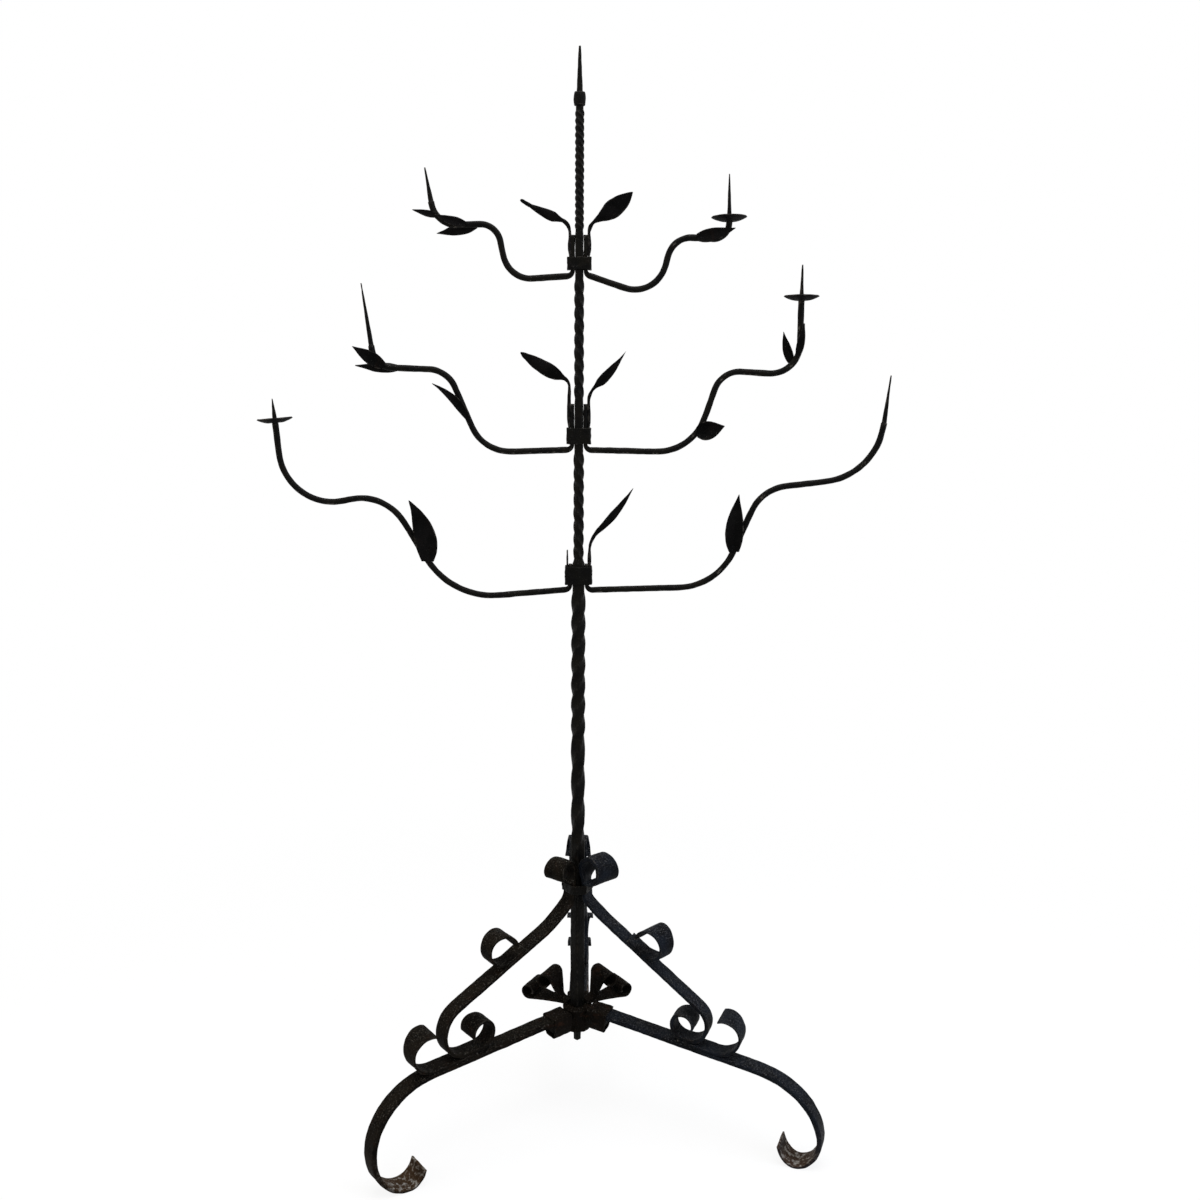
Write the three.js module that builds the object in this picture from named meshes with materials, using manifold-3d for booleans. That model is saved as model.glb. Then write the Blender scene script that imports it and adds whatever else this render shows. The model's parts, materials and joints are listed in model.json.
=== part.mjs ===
// A wrought-iron torchere: a floor candle stand with one twisted column, three scrolled legs and six
// candle arms in three tiers. Millimetres, +Z up. The front of the stand looks along -Y.
import * as THREE from 'three';
import { mergeVertices } from 'three/addons/utils/BufferGeometryUtils.js';
import Module from 'manifold-3d';

const manifold = await Module();
manifold.setup();

// ---- Driving dimensions ---------------------------------------------------------------------------

const seatGap = 0.3;            // gap between pieces that lie on each other

// Column, from the floor up: heights, sides of the square bar, and its twists in quarter turns.
const hubTop = 188;
const tenonLength = 60;
const tenonSide = 13;
const tenonTipSide = 9;
const lowerTwistStart = 460;
const slowTwistEnd = 640;
const lowerBarSide = 18;
const middleBarSide = 13;
const upperBarSide = 12;
const ropeBarSide = 10.8;
const ropeTwistEnd = 1564;
const slowTwistQuarters = 3.5;
const fastTwistQuarters = 7;
const middleTwistQuarters = 8;
const upperTwistQuarters = 9;
const ropeTwistQuarters = 17;
const twistRingsPerQuarter = 4;
const barTaperLength = 8;       // height in which the bar is drawn down to a thinner side
const cornerShare = 0.085;      // corner chamfer as a share of the bar's side

// Top of the column: a ring on a shoulder, with the spike for the seventh candle.
const ferruleHeight = 18;
const ferruleDiameter = 17.6;
const topSpikeDiameter = 9.1;
const topSpikeLength = 62;
const topSpikeTipDiameter = 3.4;
const neckLength = 6;
const ferruleLipShare = 0.8;    // diameter of the ferrule's ends as a share of its middle
const ferruleSwell = { from: 0.25, to: 0.7 };    // its middle lies between these shares of its height
const ferruleSides = 12;

// Tiers: each collar holds the column, two arm roots and two leaf stems side by side.
const tiers = {
  lower: { bottom: 879, collarHeight: 28, rootRise: 3, barSide: lowerBarSide },
  middle: { bottom: 1091, collarHeight: 24, rootRise: 35, barSide: middleBarSide },
  upper: { bottom: 1343, collarHeight: 18, rootRise: 31, barSide: upperBarSide },
};
const collarWall = 2.2;
const rootThickness = 6;
const rootCorner = 1;
const rootWidth = 9;
const stemThickness = 2.5;
const stemWidth = 9;
const rootBendRadius = 9;

// Arms: a round bar, described as a smith bends it. Each bend is [straight run, turn, radius]; a turn up is
// positive. The bar leaves its collar pointing `dip` degrees down and ends in a spike of `spike` mm, on a
// last straight of `lastRun` mm. `pan` marks the arms that still have their drip pan.
const armBarDiameter = 9.3;
const spikeBaseDiameter = 7.6;
const spikeTipDiameter = 1.6;
const arms = {
  upper_left: { tier: 'upper', side: -1, dip: 4, bends: [[51, 82, 40], [22, -80, 29], [33, 82, 36]],
    lastRun: 50, spike: 48 },
  upper_right: { tier: 'upper', side: 1, dip: 18, bends: [[54, 93, 46], [15, -78, 34], [30, 94, 22]],
    lastRun: 68, spike: 66, pan: true },
  middle_left: { tier: 'middle', side: -1, dip: 2, bends: [[83, 69, 61], [62, -65, 43], [55, 80, 30]],
    lastRun: 96, spike: 90 },
  middle_right: { tier: 'middle', side: 1, dip: 1, bends: [[97, 72, 74], [45, -74, 38], [42, 93, 42]],
    lastRun: 114, spike: 51, pan: true },
  lower_left: { tier: 'lower', side: -1, dip: 5, bends: [[102, 64, 115], [65, -71, 74], [12, 97, 78]],
    lastRun: 82, spike: 36, pan: true },
  lower_right: { tier: 'lower', side: 1, dip: -2, bends: [[132, 65, 92], [66, -60, 64], [60, 77, 95]],
    lastRun: 73, spike: 70 },
};

// Drip pans: dished discs with a flat ring in the middle.
const panDiameter = 52;
const panDepth = 6;
const panWall = 1.6;
const panSeatDiameter = 19;
const panMiddleShare = 0.35;    // height of the dish halfway out as a share of its depth
const panLipShare = 0.8;        // how far the rim stands up as a share of the wall
const panSides = 16;

// Leaves beside the arm roots: the stem rises `rise` mm above its collar, turns outwards and opens into a
// blade. One stem is broken off short.
const leafWall = 1.6;
const tangWidth = 6;
const tangShare = 0.3;          // the part of a blade's length that its tang takes
const leafTipWidth = 0.8;
const leafRootShare = 0.12;     // where on its outline a leaf begins
const leafFullness = 0.8;       // under 1 the widest place moves towards the root
const stemStraightShare = 0.5;  // the part of a stem's rise that is straight
const stemBladeSteps = 6;
const stemBladeTurn = 2;        // degrees in each step
const bladeRoll = 80;           // degrees that a blade turns to face the front
const bladeNeckShare = 0.7;     // width of a blade's neck as a share of the stem's
const leastTurn = 0.01;         // degrees; a straight blade is bent this little
const stemLeaves = {
  upper_left: { rise: 35, turn: -70, radius: 18, blade: 66, width: 16 },
  upper_right: { rise: 33, turn: -58, radius: 22, blade: 66, width: 26 },
  middle_left: { rise: 60, turn: -65, radius: 14, blade: 74, width: 20 },
  middle_right: { rise: 38, turn: -46, radius: 30, blade: 70, width: 15 },
  lower_right: { rise: 24, turn: -44, radius: 40, blade: 86, width: 12 },
  lower_left: { rise: 24, turn: 0, radius: 40, blade: 0, width: 0 },
};

// Leaves on the arms: `at` is the distance along the bar from its root bend, `heading` the direction of the
// blade above the horizontal, `turn` how far it curves, `lean` how far its tip stands off the arm. A leaf
// marked `back` is forged onto the back of its arm, the others onto the front.
const armLeaves = {
  upper_left_sheath_leaf: { arm: 'upper_left', at: 190, heading: 10, turn: 12, blade: 46, width: 13, lean: 3 },
  upper_left_tip_leaf: { arm: 'upper_left', at: 234, heading: 12, turn: 0, blade: 36, width: 10, lean: 6 },
  upper_left_under_leaf: { arm: 'upper_left', at: 176, heading: -16, turn: 10, blade: 60, width: 17, lean: 8,
    back: true },
  upper_right_leaf: { arm: 'upper_right', at: 196, heading: 8, turn: 10, blade: 56, width: 19, lean: 8 },
  middle_left_tip_leaf: { arm: 'middle_left', at: 333, heading: 30, turn: 4, blade: 52, width: 20, lean: 9 },
  middle_left_under_leaf: { arm: 'middle_left', at: 312, heading: 0, turn: 6, blade: 66, width: 15, lean: 5,
    back: true },
  middle_left_rising_leaf: { arm: 'middle_left', at: 168, heading: 62, turn: -34, blade: 74, width: 13,
    lean: 8 },
  middle_right_leaf: { arm: 'middle_right', at: 364, heading: 112, turn: -14, blade: 48, width: 14, lean: 8,
    back: true },
  middle_right_sleeve_leaf: { arm: 'middle_right', at: 376, heading: 78, turn: 4, blade: 48, width: 12,
    lean: 2 },
  middle_right_bud: { arm: 'middle_right', at: 166, heading: 8, turn: 10, blade: 42, width: 28, lean: 6,
    dish: 8 },
  lower_left_leaf: { arm: 'lower_left', at: 226, heading: 92, turn: -34, blade: 98, width: 34, lean: 12 },
  lower_right_leaf: { arm: 'lower_right', at: 236, heading: 92, turn: -10, blade: 88, width: 28, lean: 12 },
};
const leafDish = 2.2;

// Legs: a strap that lies on a seat of the hub, runs out, and rolls into an open scroll as its foot.
// `scroll` holds the turns of the foot as [turn, radius, end radius].
const legWidth = 30;
const legThickness = 8;
const legStart = 26;
const footFlareWidth = 44;
const footFlareThickness = 3;
const footFlareLength = 110;
const footWear = 0.5;           // depth worn off the bottom of each foot
const legCornerShare = 0.2;     // corner chamfer as a share of the strap's thickness
const legs = {
  right: { azimuth: -21, fall: 9, run: 278, scroll: [[-76, 150, 70], [-112, 58, 16], [-62, 18, 50]] },
  left: { azimuth: -143, fall: 3, run: 246, scroll: [[-97, 116, 84], [-108, 78, 18], [-46, 20, 44]] },
  rear: { azimuth: 90, fall: 5, run: 262, scroll: [[-88, 122, 76], [-104, 74, 18], [-72, 20, 56]] },
};

// Braces: a strap from a scroll at its top, down through the brace collar, out and down to the leg, where
// it bends back, lies on the leg and ends in a roll. `scrollRise` is the height of the scroll over the collar,
// `bends` shape the strap between collar and last straight, and `hookDistance` is from its outermost point to
// where the hook on the leg rises.
const braceWidth = 28;
const braceThickness = 6;
const braceFlareWidth = 42;
const braceFlareThickness = 3;
const braceFlareLength = 70;
const braceRadius = 15;         // from the column's axis to the middle of the strap
const braceCollarBottom = 386;
const braceCollarHeight = 14;
const braces = {
  right: { topScroll: [300, 15, 25], scrollRise: 25, bends: [[0, 46, 25], [0, 7, 350]], foot: [38, 20],
    lie: 10, roll: [-285, 23, 14], curlAt: 40, hookDistance: 10 },
  left: { topScroll: [300, 12, 19], scrollRise: 25, bends: [[0, 45, 25], [0, 19, 210]], foot: [50, 28],
    lie: 26, roll: [-285, 25, 15], curlAt: 30, hookDistance: 14 },
  rear: { topScroll: [300, 12, 21], scrollRise: 40, bends: [[0, 40, 25], [0, 20, 200]], foot: [50, 25],
    lie: 20, roll: [-285, 23, 14], curlAt: 30, hookDistance: 14 },
};

// Curls on the braces and hooks on the legs.
const curlWidth = 46;
const curlThickness = 4;
const curlEndThickness = 2.8;
const curlTail = 30;
const curlRoll = [292, 26, 21];
const hookThickness = 4;
const hookEndThickness = 2;
const hookWidth = 30;
const hookFlareWidth = 48;
const hookRoll = [[60, 40, 32], [150, 32, 22]];
const hookTuck = 20;            // how far the hook reaches in under the brace's foot

// Hub: a round boss with a seat under each leg and a band round both.
const bossDiameter = 48;
const bossHeight = 38;
const bossTaper = 3;            // how much smaller its radius is at the bottom
const bossSides = 20;
const seatLength = 54;          // from the column's axis to the end of each seat
const seatThickness = 15;
const bandWidth = 24;
const bandWall = 2.4;
const bandPlace = 27;           // from the column's axis to the inner side of each band

// Scrolls on the hub, between the legs: an outer one that lies down and an upper one that stands.
const hubScrollThickness = 3;
const hubScrollRootWidth = 18;
const hubScrollWidth = 44;
const hubScrollStart = 14;
const outerHubScroll = { run: 66, roll: [290, 11, 8] };
const upperHubScroll = { run: 8, bend: [74, 10], rise: 28, roll: [-290, 12, 9] };
const hubScrollAzimuths = { left: 153, right: 33 };
const frontStub = { azimuth: -88, length: 14, width: 13 };

// How finely the shapes are faceted.
const quarterTurn = 90;
const degreesPerRing = 16;
const longestBendStep = 28;
const longestStep = 62;

// ---- Colours --------------------------------------------------------------------------------------

const blackPaint = { color: 0x14120f, roughness: 0.72, metalness: 0.25 };
const coolBlackPaint = { color: 0x17191f, roughness: 0.66, metalness: 0.25 };
const warmBlackPaint = { color: 0x1c1813, roughness: 0.74, metalness: 0.2 };
const rustyIron = { color: 0x3a2118, roughness: 0.88, metalness: 0.15 };

// ---- Helpers --------------------------------------------------------------------------------------

const rad = THREE.MathUtils.degToRad;

function ironMesh(name, geometry, finish) {
  const mesh = new THREE.Mesh(geometry, new THREE.MeshStandardMaterial(finish));
  mesh.name = name;
  return mesh;
}

// Joins rings of points, all of one length, into a closed body with a flat cap at each end.
function loft(rings) {
  const size = rings[0].length;
  const positions = rings.flat().flatMap((point) => [point.x, point.y, point.z]);
  const index = [];
  for (let ring = 0; ring < rings.length - 1; ring += 1) {
    for (let side = 0; side < size; side += 1) {
      const a = ring * size + side;
      const b = ring * size + ((side + 1) % size);
      index.push(a, b, a + size, b, b + size, a + size);
    }
  }
  const last = (rings.length - 1) * size;
  for (let side = 1; side < size - 1; side += 1) {
    index.push(0, side + 1, side);
    index.push(last, last + side, last + side + 1);
  }
  const geometry = new THREE.BufferGeometry();
  geometry.setAttribute('position', new THREE.Float32BufferAttribute(positions, 3));
  geometry.setIndex(signedVolume(positions, index) < 0 ? index.reverse() : index);
  return geometry;
}

function signedVolume(positions, index) {
  const corner = (i) => new THREE.Vector3().fromArray(positions, 3 * i);
  let volume = 0;
  for (let i = 0; i < index.length; i += 3) {
    volume += corner(index[i]).dot(corner(index[i + 1]).cross(corner(index[i + 2])));
  }
  return volume;
}

// Walks along a bent bar in the x-z plane. Each move is [straight run, turn, radius, end radius].
function walk(start, heading, moves) {
  let angle = rad(heading);
  let length = start.length ?? 0;
  const place = { x: start.x, z: start.z };
  const stations = [{ ...place, angle, length }];
  const advance = (step, turn) => {
    angle += turn / 2;
    place.x += step * Math.cos(angle);
    place.z += step * Math.sin(angle);
    angle += turn / 2;
    length += step;
    stations.push({ ...place, angle, length });
  };
  for (const [run, turn = 0, radius = 0, endRadius = radius] of moves) {
    const runSteps = Math.ceil(run / longestStep);
    for (let i = 0; i < runSteps; i += 1) {
      advance(run / runSteps, 0);
    }
    const bendLength = rad(Math.abs(turn)) * (radius + endRadius) / 2;
    const turnSteps = Math.ceil(Math.max(Math.abs(turn) / degreesPerRing, bendLength / longestBendStep));
    for (let i = 0; i < turnSteps; i += 1) {
      const stepRadius = THREE.MathUtils.lerp(radius, endRadius, (i + 0.5) / turnSteps);
      const stepTurn = rad(turn / turnSteps);
      advance(2 * stepRadius * Math.sin(Math.abs(stepTurn) / 2), stepTurn);
    }
  }
  return stations;
}

const endOf = (stations) => stations[stations.length - 1];

// Sweeps a section along stations. `sectionAt` gives points [across, up], across being along y.
function sweep(stations, sectionAt) {
  return loft(stations.map((station) => sectionAt(station).map(([across, up]) => new THREE.Vector3(
    station.x - up * Math.sin(station.angle),
    across,
    station.z + up * Math.cos(station.angle),
  ))));
}

// An eight-sided outline: a rectangle with cut corners.
function cutRectangle(width, height, cut) {
  const x = width / 2;
  const y = height / 2;
  return [
    [x, y - cut], [x - cut, y], [cut - x, y], [-x, y - cut],
    [-x, cut - y], [cut - x, -y], [x - cut, -y], [x, cut - y],
  ];
}

const octagonCut = 1 - Math.SQRT1_2;
const roundSection = (diameter) => cutRectangle(diameter, diameter, diameter * octagonCut);
const flatSection = (width, thickness) => [
  [width / 2, thickness / 2], [-width / 2, thickness / 2],
  [-width / 2, -thickness / 2], [width / 2, -thickness / 2],
];

const mixSections = (from, to, share) => from.map(([across, up], i) => [
  THREE.MathUtils.lerp(across, to[i][0], share),
  THREE.MathUtils.lerp(up, to[i][1], share),
]);

// 1 at the end of a bar, falling smoothly to 0 at `reach` from it.
const nearEnd = (distance, reach) => 1 - THREE.MathUtils.smoothstep(distance, 0, reach);

// A band forged round the corners of what it holds, given in order against the clock.
function bandGeometry(corners, wall, height) {
  const outline = (shape, offset) => {
    corners.forEach(([x, y], i) => {
      const [beforeX, beforeY] = corners[(i + corners.length - 1) % corners.length];
      const [afterX, afterY] = corners[(i + 1) % corners.length];
      const from = Math.atan2(y - beforeY, x - beforeX) - Math.PI / 2;
      const to = Math.atan2(afterY - y, afterX - x) - Math.PI / 2;
      shape.absarc(x, y, offset, from, to, false);
    });
    return shape;
  };
  const shape = outline(new THREE.Shape(), seatGap + wall);
  shape.holes.push(outline(new THREE.Path(), seatGap));
  return new THREE.ExtrudeGeometry(shape, { depth: height, bevelEnabled: false, curveSegments: 1 });
}

const rectangleCorners = (halfX, halfY) => [
  [halfX, -halfY], [halfX, halfY], [-halfX, halfY], [-halfX, -halfY],
];

function toSolid(geometry) {
  const bare = geometry.index
    ? geometry
    : mergeVertices(geometry.deleteAttribute('uv').deleteAttribute('normal'));
  return new manifold.Manifold(new manifold.Mesh({
    numProp: 3,
    vertProperties: new Float32Array(bare.attributes.position.array),
    triVerts: new Uint32Array(bare.index.array),
  }));
}

function fromSolid(solid) {
  const { vertProperties, triVerts } = solid.getMesh();
  const geometry = new THREE.BufferGeometry();
  geometry.setAttribute('position', new THREE.BufferAttribute(vertProperties, 3));
  geometry.setIndex(new THREE.BufferAttribute(triVerts, 1));
  return geometry;
}

function boxSolid(width, depth, height, x, y, z) {
  const box = new THREE.BoxGeometry(width, depth, height).translate(x, y, z);
  box.deleteAttribute('normal');
  box.deleteAttribute('uv');
  return toSolid(mergeVertices(box));
}

// ---- Column ---------------------------------------------------------------------------------------

const collarTop = (tier) => tier.bottom + tier.collarHeight;
const rootTop = (tier) => collarTop(tier) + tier.rootRise;
// The bar is plain where arm roots lie beside it and where they bend away below the collar.
const twistEndBelow = (tier) => tier.bottom - rootBendRadius - armBarDiameter / 2;

function columnGeometry() {
  const rings = [];
  let angle = Math.PI / 4;
  const addRing = (z, side, cut = side * cornerShare) => {
    rings.push(cutRectangle(side, side, cut).map(([x, y]) => new THREE.Vector3(
      x * Math.cos(angle) - y * Math.sin(angle),
      x * Math.sin(angle) + y * Math.cos(angle),
      z,
    )));
  };
  const addTwist = (from, to, side, quarters) => {
    const steps = Math.round(Math.abs(quarters) * twistRingsPerQuarter);
    for (let step = 1; step <= steps; step += 1) {
      angle += (quarters * Math.PI) / 2 / steps;
      addRing(THREE.MathUtils.lerp(from, to, step / steps), side);
    }
  };
  addRing(hubTop - tenonLength, tenonTipSide);
  addRing(hubTop, tenonSide);
  addRing(hubTop, lowerBarSide);
  addRing(lowerTwistStart, lowerBarSide);
  addTwist(lowerTwistStart, slowTwistEnd, lowerBarSide, slowTwistQuarters);
  addTwist(slowTwistEnd, twistEndBelow(tiers.lower), lowerBarSide, fastTwistQuarters);
  addRing(rootTop(tiers.lower), lowerBarSide);
  addRing(rootTop(tiers.lower) + barTaperLength, middleBarSide);
  addTwist(rootTop(tiers.lower) + barTaperLength, twistEndBelow(tiers.middle), middleBarSide,
    -middleTwistQuarters);
  addRing(rootTop(tiers.middle), middleBarSide);
  addRing(rootTop(tiers.middle) + barTaperLength, upperBarSide);
  addTwist(rootTop(tiers.middle) + barTaperLength, twistEndBelow(tiers.upper), upperBarSide,
    -upperTwistQuarters);
  addRing(rootTop(tiers.upper), upperBarSide);
  addRing(rootTop(tiers.upper) + barTaperLength, ropeBarSide);
  addTwist(rootTop(tiers.upper) + barTaperLength, ropeTwistEnd, ropeBarSide, -ropeTwistQuarters);
  addRing(ropeTwistEnd + neckLength, ropeBarSide);
  addRing(ropeTwistEnd + neckLength, topSpikeDiameter, topSpikeDiameter * octagonCut);
  addRing(ferruleTop, topSpikeDiameter, topSpikeDiameter * octagonCut);
  addRing(ferruleTop + topSpikeLength, topSpikeTipDiameter, topSpikeTipDiameter * octagonCut);
  return loft(rings);
}

const ferruleBottom = ropeTwistEnd + neckLength + seatGap;
const ferruleTop = ferruleBottom + ferruleHeight;

function ferruleGeometry() {
  const bore = topSpikeDiameter / 2 / Math.cos(Math.PI / 8) + seatGap;
  const outer = ferruleDiameter / 2;
  const lip = outer * ferruleLipShare;
  const profile = [
    [bore, 0], [lip, 0], [outer, ferruleHeight * ferruleSwell.from], [outer, ferruleHeight * ferruleSwell.to],
    [lip, ferruleHeight], [bore, ferruleHeight], [bore, 0],
  ].map(([radius, height]) => new THREE.Vector2(radius, height));
  return new THREE.LatheGeometry(profile, ferruleSides).rotateX(Math.PI / 2)
    .translate(0, 0, ferruleBottom);
}

// ---- Tiers: collars, arms, pans and leaves --------------------------------------------------------

const rootPlace = (tier) => tier.barSide / 2 + seatGap + rootThickness / 2;
const stemPlace = (tier) => rootPlace(tier) + rootThickness / 2 + seatGap + stemThickness / 2;

function tierCollarGeometry(tier) {
  const halfX = stemPlace(tier) + stemThickness / 2;
  const halfY = Math.max(tier.barSide, rootWidth, stemWidth) / 2;
  return bandGeometry(rectangleCorners(halfX, halfY), collarWall, tier.collarHeight);
}

// The stations of an arm: down through its collar, round the root bend and out to the spike's tip.
function armStations(arm) {
  const tier = tiers[arm.tier];
  return walk({ x: rootPlace(tier), z: rootTop(tier) }, -quarterTurn, [
    [tier.collarHeight + tier.rootRise, quarterTurn - arm.dip, rootBendRadius],
    ...arm.bends,
    [arm.lastRun - arm.spike],
    [arm.spike],
  ]);
}

function armGeometry(arm) {
  const tier = tiers[arm.tier];
  const stations = armStations(arm);
  const total = endOf(stations).length;
  const rootLength = tier.collarHeight + tier.rootRise;
  const bendLength = rad(quarterTurn - arm.dip) * rootBendRadius;
  const bodyLength = total - arm.spike;
  const flatRoot = cutRectangle(rootWidth, rootThickness, rootCorner);
  const round = roundSection(armBarDiameter);
  const body = stations.filter((station) => station.length <= bodyLength + 1e-6);
  const sectionAt = (station) => {
    if (station.length > bodyLength + 1e-6) {
      const share = (station.length - bodyLength) / arm.spike;
      return roundSection(THREE.MathUtils.lerp(spikeBaseDiameter, spikeTipDiameter, share));
    }
    const share = THREE.MathUtils.clamp((station.length - rootLength) / bendLength, 0, 1);
    return station.spikeBase ? roundSection(spikeBaseDiameter) : mixSections(flatRoot, round, share);
  };
  const spikeBase = { ...endOf(body), spikeBase: true };
  const spike = stations.filter((station) => station.length > bodyLength + 1e-6);
  return sweep([...body, spikeBase, ...spike], sectionAt);
}

// Where a pan sits on its arm: on the shoulder where the bar is drawn down to the spike.
function panSeat(arm) {
  const tip = endOf(armStations(arm));
  return {
    x: tip.x - arm.spike * Math.cos(tip.angle),
    z: tip.z - arm.spike * Math.sin(tip.angle),
    tilt: tip.angle,
  };
}

function panGeometry() {
  const bore = spikeBaseDiameter / 2 / Math.cos(Math.PI / 8) + seatGap;
  const rim = panDiameter / 2;
  const seat = panSeatDiameter / 2;
  const middle = (seat + rim) / 2;
  const profile = [
    [bore, 0], [seat, 0], [middle, panDepth * panMiddleShare], [rim, panDepth],
    [rim - panWall / 2, panDepth + panWall * panLipShare],
    [middle - panWall / 3, panDepth * panMiddleShare + panWall],
    [seat, panWall], [bore, panWall], [bore, 0],
  ].map(([radius, height]) => new THREE.Vector2(radius, height));
  return new THREE.LatheGeometry(profile, panSides).rotateX(Math.PI / 2);
}

// A leaf's outline: 0 at the tip, widest before the middle.
const leafOutline = (share) => Math.sin(
  Math.PI * Math.min(1, leafRootShare + (1 - leafRootShare) * share) ** leafFullness);

// The section of a leaf: a shallow channel, its edges standing `dish` above its middle.
function leafSection(width, wall, dish) {
  const x = width / 2;
  return [
    [x, dish + wall / 4], [0, wall / 2], [-x, dish + wall / 4],
    [-x, dish - wall / 4], [0, -wall / 2], [x, dish - wall / 4],
  ];
}

// A leaf held in a collar: its strip rises beside the arm root, turns out and rolls over to face the front.
function stemLeafGeometry(leaf, tier, front) {
  const stemRise = tier.collarHeight + leaf.rise;
  const straight = leaf.rise * stemStraightShare;
  const stations = walk({ x: stemPlace(tier), z: tier.bottom + seatGap }, quarterTurn, [
    [tier.collarHeight + straight], [leaf.rise - straight - seatGap, leaf.turn, leaf.radius],
    ...Array.from({ length: leaf.blade ? stemBladeSteps : 0 }, () => [
      leaf.blade / stemBladeSteps, stemBladeTurn,
    ]),
  ]);
  const bladeStart = endOf(stations).length - leaf.blade;
  const rollStart = tier.collarHeight + straight;
  const bladePeak = 0.35;
  return loft(stations.map((station) => {
    const share = Math.max(0, (station.length - bladeStart) / (leaf.blade || 1));
    const roll = (leaf.blade ? 1 : 0) * THREE.MathUtils.smoothstep(station.length, rollStart,
      bladeStart + leaf.blade * bladePeak) * rad(bladeRoll);
    const least = share < bladePeak ? stemWidth * bladeNeckShare : leafTipWidth;
    const width = station.length > bladeStart ? Math.max(leaf.width * leafOutline(share), least) : stemWidth;
    const wall = station.length > rollStart ? leafWall : stemThickness;
    const opened = THREE.MathUtils.smoothstep(share, 0, bladePeak);
    const dish = leaf.blade ? (leafDish * opened * width) / leaf.width : 0;
    return leafSection(width, wall, dish).map(([across, up]) => {
      const turned = across * Math.cos(roll) - up * Math.sin(roll) * front;
      const raised = across * Math.sin(roll) + up * Math.cos(roll) * front;
      return new THREE.Vector3(
        station.x - raised * Math.sin(station.angle),
        turned * front,
        station.z + raised * Math.cos(station.angle),
      );
    });
  }));
}

// A leaf forged onto an arm: its tang lies on the bar and its blade stands a little off it.
function armLeafGeometry(leaf, front) {
  const face = leaf.back ? -front : front;
  const arm = arms[leaf.arm];
  const tier = tiers[arm.tier];
  const bar = armStations(arm);
  const rootEnd = tier.collarHeight + tier.rootRise + rad(quarterTurn - arm.dip) * rootBendRadius;
  const next = bar.findIndex((station) => station.length > rootEnd + leaf.at);
  const before = bar[next - 1];
  const share = (rootEnd + leaf.at - before.length) / (bar[next].length - before.length);
  const start = {
    x: THREE.MathUtils.lerp(before.x, bar[next].x, share),
    z: THREE.MathUtils.lerp(before.z, bar[next].z, share),
  };
  const bladeSteps = 7;
  const stations = walk(start, leaf.heading, Array.from({ length: bladeSteps }, () => [
    0, leaf.turn / bladeSteps || leastTurn,
    leaf.blade / bladeSteps / rad(Math.abs(leaf.turn / bladeSteps) || leastTurn),
  ]));
  const standOff = armBarDiameter / 2 + seatGap + leafWall / 2;
  const dish = leaf.dish ?? leafDish;
  return loft(stations.map((station) => {
    const along = station.length / leaf.blade;
    const width = Math.max(leaf.width * leafOutline(along), along < tangShare ? tangWidth : leafTipWidth);
    const edge = dish * (width / leaf.width);
    const off = standOff + leaf.lean * along ** 2;
    return leafSection(width, leafWall, edge).map(([across, up]) => new THREE.Vector3(
      station.x - across * Math.sin(station.angle),
      face * (off + up),
      station.z + across * Math.cos(station.angle),
    ));
  }));
}

function buildTiers() {
  const group = new THREE.Group();
  for (const [name, tier] of Object.entries(tiers)) {
    const collar = ironMesh(`${name}_collar`, tierCollarGeometry(tier), blackPaint);
    collar.position.z = tier.bottom;
    group.add(collar);
  }
  const sides = {};
  for (const side of [-1, 1]) {
    sides[side] = new THREE.Group();
    sides[side].rotation.z = side > 0 ? 0 : Math.PI;
    group.add(sides[side]);
  }
  for (const [name, arm] of Object.entries(arms)) {
    const finish = arm.side > 0 ? coolBlackPaint : warmBlackPaint;
    sides[arm.side].add(ironMesh(`${name}_arm`, armGeometry(arm), finish));
    const leaf = stemLeaves[name];
    const leafName = leaf.blade ? `${name}_stem_leaf` : `${name}_stem_stub`;
    sides[arm.side].add(ironMesh(leafName, stemLeafGeometry(leaf, tiers[arm.tier], -arm.side), finish));
    if (arm.pan) {
      const seat = panSeat(arm);
      const pan = ironMesh(`${name}_drip_pan`, panGeometry(), blackPaint);
      pan.position.set(seat.x + seatGap * Math.cos(seat.tilt), 0, seat.z + seatGap * Math.sin(seat.tilt));
      pan.rotation.y = Math.PI / 2 - seat.tilt;
      sides[arm.side].add(pan);
    }
  }
  for (const [name, leaf] of Object.entries(armLeaves)) {
    const { side } = arms[leaf.arm];
    const finish = side > 0 ? coolBlackPaint : warmBlackPaint;
    sides[side].add(ironMesh(name, armLeafGeometry(leaf, -side), finish));
  }
  return group;
}

// ---- Legs and braces ------------------------------------------------------------------------------

function strapSectionAt(flares, width, thickness, total) {
  return (station) => {
    let wide = width;
    let thick = thickness;
    for (const { from, width: flareWidth, thickness: flareThickness, length } of flares) {
      const distance = from === 'start' ? station.length : total - station.length;
      const share = nearEnd(distance, length);
      wide += (flareWidth - width) * share;
      thick += (flareThickness - thickness) * share;
    }
    return { wide, thick };
  };
}

// A leg in the plane of its azimuth. The start height puts the bottom of the foot just under the floor.
function legStations(leg) {
  const moves = [[leg.run], ...leg.scroll.map(([turn, radius, endRadius]) => [0, turn, radius, endRadius])];
  const drawn = walk({ x: legStart, z: 0 }, -leg.fall, moves);
  const sizeAt = legSizeAt(endOf(drawn).length);
  const lowest = Math.min(...drawn.map((station) => (
    station.z - (sizeAt(station).thick / 2) * Math.abs(Math.cos(station.angle)))));
  return walk({ x: legStart, z: -lowest - footWear }, -leg.fall, moves);
}

const legSizeAt = (total) => strapSectionAt([{
  from: 'end', width: footFlareWidth, thickness: footFlareThickness, length: footFlareLength,
}], legWidth, legThickness, total);

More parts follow.
